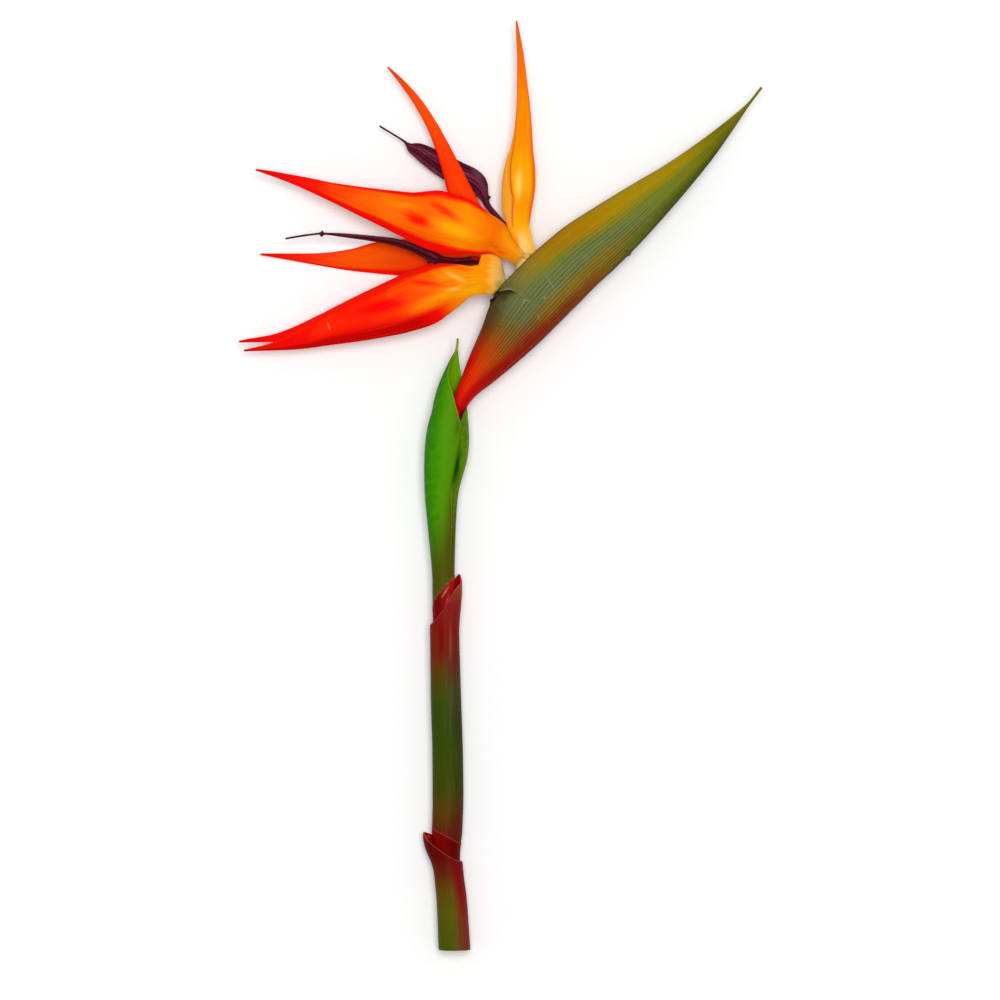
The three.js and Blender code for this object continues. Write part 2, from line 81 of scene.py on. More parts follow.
def smooth_path(rows: Rows, shares: Array) -> Array:
    """Reads a smooth curve through rows of numbers.

    Args:
        rows: The rows that the curve passes through.
        shares: Where to read it, from 0 at the first row to 1 at the last.

    Returns:
        One row of numbers for each share.
    """
    knots = np.array(rows, float)
    padded = np.vstack([2 * knots[0] - knots[1], knots, 2 * knots[-1] - knots[-2]])
    position = np.clip(shares, 0, 1) * (len(knots) - 1)
    index = np.minimum(position.astype(int), len(knots) - 2)
    u = (position - index)[:, None]
    before, start, end, after = (padded[index + step] for step in range(4))
    rise, fall = (end - before) / 2, (after - start) / 2
    ends = (2 * u**3 - 3 * u**2 + 1) * start + (3 * u**2 - 2 * u**3) * end
    return ends + (u**3 - 2 * u**2 + u) * rise + (u**3 - u**2) * fall


def law(pairs: Rows, position: Array) -> Array:
    """Reads a straight-line law given as [position, value] pairs."""
    return np.interp(position, *np.array(pairs, float).T)


def ease(value: Array, low: float, high: float) -> Array:
    """Smooth step from 0 at low to 1 at high."""
    share = np.clip((value - low) / (high - low), 0, 1)
    return share * share * (3 - 2 * share)


def bell(value: Array, reach: float) -> Array:
    """A bell from 1 at 0 that falls away over the reach."""
    return np.exp(-((value / reach) ** 2))


def denser(position: Array, power: float) -> Array:
    """Even positions from -1 to 1, drawn toward both ends."""
    return np.sign(position) * (1 - (1 - np.abs(position)) ** power)


def away_from(path: Rows, x: Array, y: Array) -> Array:
    """Distance of points from a path.

    Args:
        path: Rows of [x, y] that the path runs straight between.
        x: The points' x.
        y: The points' y.

    Returns:
        The distances, below 0 on the path's right.
    """
    nearest = np.full(x.shape, 1e3)
    for (x0, y0), (x1, y1) in zip(path[:-1], path[1:]):
        run, rise = x1 - x0, y1 - y0
        share = np.clip(((x - x0) * run + (y - y0) * rise) / math.hypot(run, rise) ** 2, 0, 1)
        gap = np.hypot(x - x0 - share * run, y - y0 - share * rise)
        side = np.where(run * (y - y0) - rise * (x - x0) >= 0, 1.0, -1.0)
        nearest = np.where(gap < np.abs(nearest), gap * side, nearest)
    return nearest


def unit(vectors: Array) -> Array:
    """Vectors scaled to a length of 1."""
    return vectors / np.linalg.norm(vectors, axis=-1, keepdims=True)


def set_off(path: Rows, shares: Array, out: Array, up: Array) -> Array:
    """Points set off a path.

    Args:
        path: Rows that start with x, y and z.
        shares: Where along the path each row of points is, from 0 to 1.
        out: How far each point lies across the path.
        up: How far it lies out of the path's face, which is turned up from the table.

    Returns:
        The points, as rows by columns by 3.
    """
    before, centre, after = (smooth_path(path, shares + step)[:, :3] for step in (-1e-4, 0, 1e-4))
    along = unit(after - before)
    face = unit(np.array([0, 0, 1]) - along * along[:, 2:3])
    across = np.cross(along, face)[:, None, :] * out[..., None]
    return centre[:, None, :] + across + face[:, None, :] * up[..., None]


def ring_grid(ring_count: int, sides: int) -> tuple[Array, Array]:
    """How far along, from 0 to 1, and at what angle each point of a stack of rings is."""
    turns = np.linspace(0, FULL_TURN, sides, endpoint=False)
    return tuple(np.meshgrid(np.linspace(0, 1, ring_count + 1), turns, indexing="ij"))


def quads(*corners: Array) -> Array:
    """Faces whose corners are the like entries of four grids of point numbers."""
    return np.stack(corners, axis=-1).reshape(-1, 4)


# Pieces


@dataclass
class Body:
    """A closed mesh in the making, with what each of its points knows of its place."""

    points: Array
    faces: list[list[int]]
    notes: dict[str, Array]

    @classmethod
    def thin(cls, front: Array, back: Array, place: Array, wrap: bool = False) -> "Body":
        """A closed body between two like grids of points.

        Args:
            front: Front points, as rows by columns by 3.
            back: Back points, likewise.
            place: Where each point of either grid lies on the piece, likewise.
            wrap: True where the last column joins the first.

        Returns:
            The body, whose skin is 1 in front and 0 at the back.
        """
        rows, columns = front.shape[:2]
        count = rows * columns
        ids = np.arange(count).reshape(rows, columns)
        if wrap:
            ids = np.hstack([ids, ids[:, :1]])
        rear = ids + count
        faces = [
            quads(ids[:-1, :-1], ids[:-1, 1:], ids[1:, 1:], ids[1:, :-1]),
            quads(rear[:-1, :-1], rear[1:, :-1], rear[1:, 1:], rear[:-1, 1:]),
            quads(ids[0, 1:], ids[0, :-1], rear[0, :-1], rear[0, 1:]),
            quads(ids[-1, :-1], ids[-1, 1:], rear[-1, 1:], rear[-1, :-1]),
        ]
        if not wrap:
            faces.append(quads(ids[:-1, 0], ids[1:, 0], rear[1:, 0], rear[:-1, 0]))
            faces.append(quads(ids[1:, -1], ids[:-1, -1], rear[:-1, -1], rear[1:, -1]))
        points = np.vstack([front.reshape(-1, 3), back.reshape(-1, 3)])
        places = np.tile(place.reshape(-1, 3), (2, 1))
        notes = {"place": places, "skin": np.repeat([1.0, 0.0], count)}
        return cls(points, np.vstack(faces).tolist(), notes)

    @classmethod
    def rings(cls, rings: Array, place: Array) -> "Body":
        """A closed body through rings of points, with a fan over each end.

        Args:
            rings: Points, as rings by sides by 3.
            place: Where each point lies on the piece, likewise.

        Returns:
            The body, whose skin is 1 round it and 0 in the middle of its ends.
        """
        count = rings.shape[0] * rings.shape[1]
        ids = np.arange(count).reshape(rings.shape[:2])
        turned = np.roll(ids, -1, axis=1)
        faces = quads(ids[:-1], turned[:-1], turned[1:], ids[1:]).tolist()
        faces += [[count, int(b), int(a)] for a, b in zip(ids[0], turned[0])]
        faces += [[count + 1, int(a), int(b)] for a, b in zip(ids[-1], turned[-1])]
        points, places = (
            np.vstack([grid.reshape(-1, 3), grid[0].mean(axis=0), grid[-1].mean(axis=0)])
            for grid in (rings, place)
        )
        return cls(points, faces, {"place": places, "skin": np.append(np.ones(count), [0, 0])})

    def mesh(self, name: str) -> bpy.types.Mesh:
        """Makes the mesh, with nothing of it below the table.

        Args:
            name: What it is called.

        Returns:
            The mesh, with the body's notes on its points.
        """
        points = self.points.copy()
        points[:, 2] = np.maximum(points[:, 2], 0)
        mesh = bpy.data.meshes.new(name)
        mesh.from_pydata((points * MM).tolist(), [], self.outward(points))
        for note, values in self.notes.items():
            kind, slot = ("FLOAT_VECTOR", "vector") if values.ndim == 2 else ("FLOAT", "value")
            made = mesh.attributes.new(note, kind, "POINT")
            made.data.foreach_set(slot, np.ascontiguousarray(values, np.float32).ravel())
        mesh.polygons.foreach_set("use_smooth", np.ones(len(mesh.polygons), bool))
        mesh.set_sharp_from_angle(angle=SHARP_FROM)
        return mesh

    def outward(self, points: Array) -> list[list[int]]:
        """Turns the faces so that they face out of the body.

        Args:
            points: The body's points.

        Returns:
            The faces.
        """
        fans = [(face[0], *pair) for face in self.faces for pair in zip(face[1:], face[2:])]
        first, second, third = points[np.array(fans)].transpose(1, 0, 2)
        volume = np.einsum("ij,ij", first, np.cross(second, third))
        return self.faces if volume > 0 else [face[::-1] for face in self.faces]


@dataclass(frozen=True)
class Part:
    """What a piece stands for: its own name, the solid it replaces and the slot of its finish,
    which is not used.
    """

    name: str
    node: str
    slot: str


@dataclass(frozen=True)
class Finish:
    """The look of a piece's surface."""

    name: str

    def build(self) -> bpy.types.Material:
        """Makes the material."""
        raise NotImplementedError


@dataclass(frozen=True)
class Piece:
    """A piece of the flower, in place of one solid."""

    part: Part
    finish: Finish

    def body(self) -> Body:
        """Works out its form."""
        raise NotImplementedError

    def build(self) -> None:
        """Makes the piece, dresses it, rides it on the frame and sets it in place of its solid."""
        part = self.part
        mesh = self.body().mesh(part.name)
        mesh.materials.append(self.finish.build())
        piece = bpy.data.objects.new(part.name, mesh)
        bpy.context.scene.collection.objects.link(piece)
        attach(piece, "root")
        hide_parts(part.node)
        LOG.info("%s: %d faces, in place of %s", part.name, len(mesh.polygons), part.node)


@dataclass(frozen=True)
class Assembly:
    """Pieces that belong together, as fields in the order of building."""

    def build(self) -> None:
        """Builds every piece."""
        for piece in fields(self):
            getattr(self, piece.name).build()


# Shaders


def math_node(operation: str, reflected: bool = False) -> Callable[..., "Signal"]:
    """Makes the method of an operator.

    Args:
        operation: The Math node's operation.
        reflected: True where the signal is the right term.

    Returns:
        The method.
    """

    def method(self: "Signal", other: "Term" = 0.0) -> "Signal":
        """Adds the node."""
        return self.shader.arithmetic(operation, *((other, self) if reflected else (self, other)))

    return method


@dataclass(frozen=True)
class Signal:
    """The output of a shader node. Arithmetic on it adds nodes."""

    shader: "Shader"
    socket: bpy.types.NodeSocket

    __add__, __radd__ = math_node("ADD"), math_node("ADD", True)
    __sub__, __rsub__ = math_node("SUBTRACT"), math_node("SUBTRACT", True)
    __mul__, __rmul__ = math_node("MULTIPLY"), math_node("MULTIPLY", True)
    __pow__, __abs__, sine = math_node("POWER"), math_node("ABSOLUTE"), math_node("SINE")

    def ease(self, low: float, high: float) -> "Signal":
        """Smooth step.

        Args:
            low: Where it is 0.
            high: Where it is 1.

        Returns:
            The step, from 0 to 1.
        """
        smooth = {"interpolation_type": "SMOOTHSTEP"}
        inputs = {"Value": self, "From Min": low, "From Max": high}
        return self.shader.signal("ShaderNodeMapRange", smooth, inputs)

    def band(self, middle: float, reach: float) -> "Signal":
        """1 at the middle, falling smoothly to 0 at the reach on either side."""
        return 1 - abs(self - middle).ease(0, reach)


Term = Signal | float | Sequence[float]


@dataclass(frozen=True)
class Gloss:
    """How a surface shines: its roughness, how far that varies, and how strongly it reflects."""

    roughness: float
    spread: float
    specular: float


class Shader:
    """A material in the making, with one surface shader."""

    def __init__(self, name: str) -> None:
        """Starts a material with an empty surface.

        Args:
            name: The material's name.
        """
        self.material = bpy.data.materials.new(name)
        self.material.use_nodes = True
        self.tree = self.material.node_tree
        self.tree.nodes.clear()
        self.surface = self.node("ShaderNodeBsdfPrincipled", {}, {})
        surface = Signal(self, self.surface.outputs[0])
        self.node("ShaderNodeOutputMaterial", {}, {"Surface": surface})

    def node(self, kind: str, settings: dict, inputs: dict) -> bpy.types.Node:
        """Adds a node.

        Args:
            kind: The node's type.
            settings: Its properties, which are set first.
            inputs: Values or signals of its sockets, by name or number.

        Returns:
            The new node.
        """
        made = self.tree.nodes.new(kind)
        for name, value in settings.items():
            setattr(made, name, value)
        self.feed(made, inputs)
        return made

    def feed(self, node: bpy.types.Node, inputs: dict) -> None:
        """Sets a node's sockets to values, or links them to signals.

        Args:
            node: The node.
            inputs: Values or signals of its sockets, by name or number.
        """
        for name, value in inputs.items():
            if isinstance(value, Signal):
                self.tree.links.new(value.socket, node.inputs[name])
            else:
                node.inputs[name].default_value = value

    def signal(self, kind: str, settings: dict, inputs: dict, output: int | str = 0) -> Signal:
        """Adds a node and gives one of its outputs."""
        return Signal(self, self.node(kind, settings, inputs).outputs[output])

    def arithmetic(self, operation: str, first: Term, second: Term) -> Signal:
        """Joins two terms, in a Vector Math node where either is a vector.

        Args:
            operation: The node's operation.
            first: The left term.
            second: The right term.

        Returns:
            What the node gives.
        """
        kinds = {term.socket.type for term in (first, second) if isinstance(term, Signal)}
        kind = "ShaderNodeVectorMath" if "VECTOR" in kinds else "ShaderNodeMath"
        return self.signal(kind, {"operation": operation}, {0: first, 1: second})

    def mix(self, share: Term, first: Term, second: Term) -> Signal:
        """Blends two colours.

        Args:
            share: The share of the second, from 0 to 1.
            first: The first colour.
            second: The second colour.

        Returns:
            The blend.
        """
        pair = [term if isinstance(term, Signal) else paint(term) for term in (first, second)]
        inputs = {0: share, 6: pair[0], 7: pair[1]}
        return self.signal("ShaderNodeMix", {"data_type": "RGBA"}, inputs, 2)

    def coated(self, colour: Signal, *coats: tuple[Term, Term]) -> Signal:
        """Lays coats over a colour.

        Args:
            colour: The colour under them.
            coats: Each coat's mask and colour, in order.

        Returns:
            The coated colour.
        """
        for mask, coat in coats:
            colour = self.mix(mask, colour, coat)
        return colour

    def read(self, name: str, output: str = "Fac") -> Signal:
        """A value noted on the mesh's points."""
        return self.signal("ShaderNodeAttribute", {"attribute_name": name}, {}, output)

    def place(self) -> list[Signal]:
        """The three numbers of a point's place on its piece."""
        parts = self.node("ShaderNodeSeparateXYZ", {}, {0: self.read("place", "Vector")})
        return [Signal(self, parts.outputs[axis]) for axis in range(3)]

    def noise(self, stretch: tuple[float, float, float], detail: float) -> Signal:
        """Noise around 0 over the place on the piece.

        Args:
            stretch: How many times finer it is along each number of the place.
            detail: How many finer layers it has.

        Returns:
            The noise, from -0.5 to 0.5.
        """
        inputs = {"Vector": self.read("place", "Vector") * stretch, "Scale": 1.0, "Detail": detail}
        return self.signal("ShaderNodeTexNoise", {}, inputs) - 0.5

    def speckle(self, scale: float, detail: float = 2.0) -> Signal:
        """Noise with no direction, in space.

        Args:
            scale: Its frequency in each metre.
            detail: How many finer layers it has.

        Returns:
            The noise, from 0 to 1.
        """
        where = self.signal("ShaderNodeTexCoord", {}, {}, "Object")
        inputs = {"Vector": where, "Scale": scale, "Detail": detail}
        return self.signal("ShaderNodeTexNoise", {}, inputs)

    def ramp(self, value: Signal, stops: Rows) -> Signal:
        """Lays colours out along a value.

        Args:
            value: The value, from 0 to 1.
            stops: Rows of [value, red, green, blue], in rising order.

        Returns:
            The colour.
        """
        made = self.node("ShaderNodeValToRGB", {}, {0: value})
        elements = made.color_ramp.elements
        while len(elements) < len(stops):
            elements.new(1.0)
        for element, (position, *colour) in zip(elements, stops):
            element.position = position
            element.color = paint(colour)
        return Signal(self, made.outputs[0])

    def painted(self, colour: Signal, patches: Rows, ragged: Signal) -> Signal:
        """Lays soft-edged patches, seen from above the table, over a colour.

        Args:
            colour: The colour under them.
            patches: Rows of [x, y, half length, half breadth, degrees from +X, red, green, blue,
                strength, share of the patch at full strength where that isn't 0].
            ragged: What makes their outlines uneven, around 0.

        Returns:
            The painted colour.
        """
        for x, y, length, breadth, turn, red, green, blue, strength, *core in patches:
            inputs = {
                "Vector": self.signal("ShaderNodeTexCoord", {}, {}, "Object"),
                "Location": (x * MM, y * MM, 0.0),
                "Rotation": (0.0, 0.0, math.radians(turn)),
                "Scale": (length * MM, breadth * MM, 10.0),
            }
            local = self.signal("ShaderNodeMapping", {"vector_type": "TEXTURE"}, inputs)
            far = self.signal("ShaderNodeVectorMath", {"operation": "LENGTH"}, {0: local}, "Value")
            mask = (1 - (far + ragged * 0.35).ease(sum(core), 1.0)) * strength
            colour = self.mix(mask, colour, (red, green, blue))
        return colour

    def finish(
        self, colour: Signal, gloss: Gloss, grain: Signal, relief: Signal, depth: float
    ) -> bpy.types.Material:
        """Sets the surface and gives the material.

        Args:
            colour: Its colour.
            gloss: How it shines.
            grain: What the roughness varies with, around 0.
            relief: Its height, around 0 to 1.
            depth: How deep a relief of 1 is, in millimetres.

        Returns:
            The material.
        """
        bump = {"Height": relief, "Distance": depth * MM, "Strength": 1.0}
        inputs = {
            "Base Color": colour,
            "Roughness": gloss.roughness + grain * gloss.spread,
            "Normal": self.signal("ShaderNodeBump", {}, bump),
            "Specular IOR Level": gloss.specular,
        }
        self.feed(self.surface, inputs)
        return self.material


# Finishes

CREAM, WARM_CREAM, YOLK = (240, 210, 140), (250, 200, 100), (255, 176, 16)
ORANGE, RED, DEEP_RED = (254, 118, 3), (248, 10, 4), (200, 0, 0)


@dataclass(frozen=True)
class Margin:
    """A petal's coloured margin.

    Its breadth is a share of the half width and grows toward the tip by the widening. It starts
    that far along the petal, and its inner edge fades over the soft share of its breadth.
    """

    colour: Colour
    breadth: float
    start: float
    widening: float = 0.0
    soft: float = 0.7

    def mask(self, side: Signal, along: Signal, uneven: Signal) -> Signal:
        """Where the margin is.

        Args:
            side: How far across the petal, up to 1 at this margin.
            along: How far along it.
            uneven: What its inner edge wanders by.

        Returns:
            The mask, 1 on the margin.
        """
        solid = 1 - self.breadth * (1 - self.soft)
        reach = (side + along * self.widening + uneven * self.soft).ease(1 - self.breadth, solid)
        return reach * along.ease(self.start, self.start + 0.09)


@dataclass(frozen=True)
class PetalFinish(Finish):
    """The satin skin of a petal: its colours from foot to tip, its margins and soft patches."""

    stops: Rows
    upper: Margin
    lower: Margin
    patches: Rows = ()
    flank: Margin | None = None
    crease: Colour | None = None
    flange: Colour = YOLK
    veins: int = 15

    def build(self) -> bpy.types.Material:
        """Makes the material.

        Returns:
            The material.
        """
        shader = Shader(self.name)
        across, along, beyond = shader.place()
        drift = shader.noise((1.6, 6.0, 0.0), 3.0)
        streak = shader.noise((16.0, 3.0, 0.0), 4.0)
        cloud = shader.speckle(110.0, 3.0) - 0.5
        colour = shader.ramp(along + drift * 0.14 + cloud * 0.1 + streak * 0.06, self.stops)
        colour = shader.painted(colour, self.patches, drift + streak)
        uneven = drift * 0.3 + streak * 0.14
        sides = ((self.upper, across), (self.lower, across * -1.0), (self.flank, across * -1.0))
        for margin, side in sides:
            if margin:
                colour = shader.mix(margin.mask(side, along, uneven), colour, margin.colour)
        if self.crease:
            body = along.ease(0.12, 0.2) * (1 - along.ease(0.5, 0.64))
            flange = (beyond.ease(-0.02, 0.08) * body * 0.85, self.flange)
            crease = (beyond.band(0.0, 0.09) * body * 0.8, self.crease)
            colour = shader.coated(colour, flange, crease)
        vein = (across * (self.veins * math.pi) + drift * 5.0 + streak * 3.0).sine()
        colour = shader.coated(
            colour,
            ((vein * 0.5 + 0.5) * 0.05, self.lower.colour),
            (streak.ease(0.1, 0.36) * 0.16 * (1 - along.ease(0.5, 0.9)), YOLK),
            ((streak * -1.0).ease(0.1, 0.36) * along.ease(0.12, 0.34) * 0.2, self.lower.colour),
            ((1 - shader.read("skin")) * 0.35, ORANGE),
        )
        fine = shader.speckle(2600.0, 3.0) - 0.5
        relief = vein * 0.25 + streak * 0.8 + cloud * 2.0 + fine * 0.25
        return shader.finish(colour, Gloss(0.5, 0.25, 0.025), streak, relief, 0.07)


@dataclass(frozen=True)
class NeckFinish(Finish):
    """The pale fleshy neck that a flower's petals sit on."""

    patches: Rows
    stops: Rows = ((0.0, 150, 140, 70), (0.7, 200, 180, 100), (0.86, *CREAM), (1.0, *WARM_CREAM))

    def build(self) -> bpy.types.Material:
        """Makes the material.

        Returns:
            The material.
        """
        shader = Shader(self.name)
        around, along, _ = shader.place()
        streak = shader.noise((5.0, 7.0, 5.0), 4.0)
        colour = shader.ramp(along + streak * 0.1, self.stops)
        colour = shader.painted(colour, self.patches, streak)
        colour = shader.mix(abs(around).ease(0.5, 1.0) * 0.3, colour, (226, 180, 88))
        relief = streak + shader.speckle(2200.0) * 0.4
        return shader.finish(colour, Gloss(0.5, 0.2, 0.07), streak, relief, 0.1)


@dataclass(frozen=True)
class ArrowFinish(Finish):
    """The dark purple skin of an arrow, paler on its ridges and grey on the style."""

    style_from: float
    deep: Colour
    middle: Colour
    pale: Colour
    patches: Rows

    def build(self) -> bpy.types.Material:
        """Makes the material.

        Returns:
            The material.
        """
        shader = Shader(self.name)
        around, along, ridge = shader.place()
        streak = shader.noise((8.0, 14.0, 4.0), 5.0)
        thread = shader.noise((26.0, 9.0, 26.0), 4.0)
        cells = shader.speckle(1100.0, 4.0) - 0.5
        colour = shader.coated(
            shader.mix((ridge + thread).ease(0.1, 0.6), self.deep, self.middle),
            ((ridge + streak + thread * 2.0).ease(0.6, 1.2) * 0.6, self.pale),
            (cells.ease(0.0, 0.3) * 0.3, (116, 18, 42)),
            (cells.ease(0.1, 0.3) * 0.3, self.pale),
            (along.ease(self.style_from, self.style_from + 0.05) * 0.7, (74, 34, 50)),
            (abs(around).ease(0.8, 1.0) * 0.3, self.deep),
        )
        colour = shader.painted(colour, self.patches, streak)
        relief = streak * 0.8 + thread * 1.2 + cells * 0.8
        return shader.finish(colour, Gloss(0.45, 0.25, 0.08), streak, relief, 0.26)


@dataclass(frozen=True)
class SpatheFinish(Finish):
    """The waxy skin of the spathe: red at its foot, grey-green on its flank, mustard above.

    Its broad colours run from its foot to its tip along its keel, its flank and its margin.
    """

    length: float
    keel: Rows
    flank: Rows
    margin: Rows
    patches: Rows
    lines: float = 20.0

    def build(self) -> bpy.types.Material:
        """Makes the material.

        Returns:
            The material.
        """
        shader = Shader(self.name)
        height, distance, _ = shader.place()
        share = distance * (1 / self.length)
        drift = shader.noise((3.0, 0.03, 0.0), 3.0)
        streak = shader.noise((26.0, 0.05, 0.0), 4.0)
        colour = self.zones(shader, height + drift * 0.12, share + drift * 0.05 + streak * 0.05)
        turns = abs(shader.read("lines")) ** RIB_SPACING * (self.lines * FULL_TURN)
        wave = (turns + streak * 1.5).sine()
        low = 1 - height.ease(0.45, 0.8) * 0.85
        strength = low * distance.ease(8.0, 26.0) * (1 - distance.ease(80.0, 130.0) * 0.4)
        dark = (wave * -1.0 + streak * 1.2).ease(0.35, 1.0) * strength * (0.46 + streak * 0.6)
        pale = (wave + streak * 1.2).ease(0.55, 1.1) * strength * (0.12 + streak * 0.5)
        bloom = (shader.speckle(420.0, 5.0) - 0.5).ease(0.02, 0.3)
        fold = shader.read("fold")
        near = height.ease(0.72, 0.84)
        hollow = (fold * -1.0).ease(-0.1, 0.25) * (1 - (fold * -1.0).ease(0.3, 3.6))
        rim = fold.band(0.1, 0.34) * (near * 0.5 + height.ease(0.45, 0.6) * 0.12)
        edge = (height + streak * 0.02).ease(0.965, 1.0)
        colour = shader.coated(
            colour,
            (dark, (58, 24, 6)),
            (pale, (168, 140, 60)),
            (bloom * 0.12 * share.ease(0.2, 0.32), (150, 160, 118)),
            # Painted shadow in the hollow below the fold's rim.
            (hollow * near * 0.95, (40, 34, 14)),
            (rim, (160, 154, 108)),
            # A dark line of painted shade along the step of the foot's ledge.
            ((distance - height + streak * 0.8).band(2.3, 0.5) * 0.7, (96, 4, 4)),
            (edge * share.ease(0.22, 0.3) * 0.6, (116, 88, 20)),
            (1 - shader.read("skin"), (176, 160, 96)),
        )
        colour = shader.painted(colour, self.patches, shader.speckle(1500.0) - 0.5)
        relief = wave * 0.3 * (1 - height.ease(0.5, 0.9) * 0.7) + streak * 0.6
        relief = relief + (shader.speckle(1400.0, 4.0) - 0.5) * 0.5
        return shader.finish(colour, Gloss(0.46, 0.2, 0.025), streak, relief, 0.09)

    def zones(self, shader: Shader, height: Signal, reach: Signal) -> Signal:
        """The spathe's broad colours, with painted shade along its keel toward the tip.

        Args:
            shader: The material in the making.
            height: How far up the side, from the keel at 0 to the margin at 1.
            reach: How far along, from the foot at 0 to the tip at 1.

        Returns:
            The colour.
        """
        low = height - (1 - reach.ease(0.04, 0.2)) * 0.16 + reach.ease(0.24, 0.42) * 0.08
        top = height + reach.ease(0.3, 0.62) * 0.14
        ochre = height.band(0.25, 0.17) * reach.ease(0.22, 0.34) * (1 - reach.ease(0.46, 0.6))
        return shader.coated(
            shader.ramp(reach, self.keel),
            (low.ease(0.12, 0.42), shader.ramp(reach, self.flank)),
            (ochre * 0.75, (136, 106, 8)),
            (top.ease(0.58, 0.72) * reach.ease(0.3, 0.4) * 0.7, (120, 126, 18)),
            (top.ease(0.64, 0.88), shader.ramp(reach, self.margin)),
            # Painted shade along the keel toward the tip.
            ((1 - height.ease(0.0, 0.07)) * reach.ease(0.3, 0.5) * 0.75, (44, 44, 6)),
        )


def collar_ring(lean: "Array | Signal") -> "Array | Signal":
    """Height of the slanting ring over the bract's collar, by the cosine of the angle round it."""
    return (lean * 0.5 + 0.5) ** 0.6 * RING_RISE - RING_DROP


@dataclass(frozen=True)
class BractFinish(Finish):
    """The green upper sheath: bright in the middle, partly by a painted highlight, browner toward
    its foot, red under its ring.
    """

    stops: Rows
    patches: Rows

    def build(self) -> bpy.types.Material:
        """Makes the material.

        Returns:
            The material.
        """
        shader = Shader(self.name)
        around, along, _ = shader.place()
        streak = shader.noise((9.0, 0.03, 4.0), 4.0)
        drift = shader.noise((1.5, 0.04, 1.0), 2.0)
        mottle = shader.speckle(420.0, 4.0) - 0.5
        turn = around * 0.5 + 0.5 + drift * 0.15 + streak * 0.14 + mottle * 0.3
        lower = (drift * 12.0 + streak * 8.0 + around * 9.0 - along).ease(2.0, 34.0)
        ring, torn = collar_ring(around), shader.noise((14.0, 0.9, 14.0), 3.0)
        red = shader.mix((around + torn).ease(-0.6, 0.9), (112, 4, 3), (160, 18, 8))
        frayed = (along - ring + torn * 2.0).band(0.0, 0.8) * torn.ease(-0.05, 0.2)
        colour = shader.coated(
            shader.ramp(turn, self.stops),
            (mottle.ease(0.0, 0.25) * 0.34, (98, 154, 4)),
            ((mottle * -1.0).ease(0.05, 0.3) * 0.3, (40, 112, 4)),
            (lower * 0.9, (78, 68, 8)),
            ((ring - along + torn * 3.4 + streak).ease(-0.3, 0.3), red),
            (frayed * 0.75, (196, 128, 96)),
        )
        colour = shader.painted(colour, self.patches, streak)
        inner = shader.mix(shader.speckle(260.0, 4.0).ease(0.4, 0.7), (104, 170, 3), (118, 160, 8))
        lap = (1 - along.ease(-3.0, 0.0)) * along.ease(-34.0, -20.0)
        upper = along.ease(20.0, 25.0) + lap * 0.6
        colour = shader.coated(
            colour,
            (1 - shader.read("skin"), inner),
            (along.ease(50.5, 54.5), (150, 150, 62)),
            (along.ease(56.8, 59.0), (124, 96, 44)),
            ((1 - shader.read("edge").ease(0.15, 0.45)) * upper * 0.6, (146, 168, 54)),
        )
        relief = streak + mottle * 0.8 + (shader.speckle(1500.0, 3.0) - 0.5) * 0.4
        return shader.finish(colour, Gloss(0.45, 0.2, 0.03), streak, relief, 0.12)


@dataclass(frozen=True)
class SheathFinish(Finish):
    """The smooth waxy skin of a closed sheath.

    Its colours run from its foot to its mouth, apart on its left and right. Where a ring is
    given, as height and slope, the collar below it is red.
    """

    foot: float
    mouth: float
    left: Rows
    right: Rows
    patches: Rows
    ring: tuple[float, float] | None = None

    def build(self) -> bpy.types.Material:
        """Makes the material.

        Returns:
            The material.
        """
        shader = Shader(self.name)
        around, along, drop = shader.place()
        streak = shader.noise((9.0, 0.04, 0.0), 4.0)
        drift = shader.noise((1.2, 0.05, 0.0), 3.0)
        fine = shader.noise((34.0, 0.07, 0.0), 4.0)
        share = (along - self.foot) * (1 / (self.mouth - self.foot)) + drift * 0.08 + streak * 0.05
        turn = (around + drift * 0.5 + streak * 0.3).ease(-0.1, 0.75)
        colour = shader.coated(
            shader.mix(turn, shader.ramp(share, self.left), shader.ramp(share, self.right)),
            (fine.ease(0.04, 0.22) * 0.2, (150, 84, 56)),
            ((fine * -1.0).ease(0.02, 0.22) * 0.45, (36, 8, 2)),
        )
        if self.ring:
            height = self.ring[0] + around * self.ring[1]
            red = shader.mix((around + streak).ease(-0.9, 0.5), (128, 3, 2), (96, 2, 2))
            colour = shader.coated(
                colour,
                ((height - along).ease(-0.15, 0.15), red),
                ((along - height).band(0.0, 0.34) * (0.55 + streak), (178, 70, 40)),
            )
        rim = 1 - (drop + streak * 0.3).ease(0.1, 0.34)
        colour = shader.coated(
            colour,
            (rim * (0.45 + streak), (196, 104, 76)),
            (1 - shader.read("skin"), (176, 8, 4)),
        )
        colour = shader.painted(colour, self.patches, streak)
        relief = streak + (shader.speckle(1600.0, 3.0) - 0.5) * 0.4
        return shader.finish(colour, Gloss(0.44, 0.22, 0.025), streak, relief, 0.1)


@dataclass(frozen=True)
class ScapeFinish(Finish):
    """The stem's pale flesh, with its strands showing as dots in the cut face."""

    def build(self) -> bpy.types.Material:
        """Makes the material.

        Returns:
            The material.
        """
        shader = Shader(self.name)
        where = shader.signal("ShaderNodeTexCoord", {}, {}, "Object")
        cells = shader.signal("ShaderNodeTexVoronoi", {}, {"Vector": where, "Scale": 1100.0})
        dots = 1 - cells.ease(0.12, 0.4)
        cloud = shader.speckle(500.0, 3.0)
        colour = shader.coated(
            shader.mix(cloud.ease(0.3, 0.7), (176, 184, 112), (206, 204, 142)),
            (dots * 0.6, (112, 118, 58)),
            (shader.read("skin").ease(0.86, 1.0) * 0.7, (104, 120, 48)),
        )
        return shader.finish(colour, Gloss(0.6, 0.15, 0.15), cloud - 0.5, dots * -1.0 + cloud, 0.25)


# Petals, arrows and necks


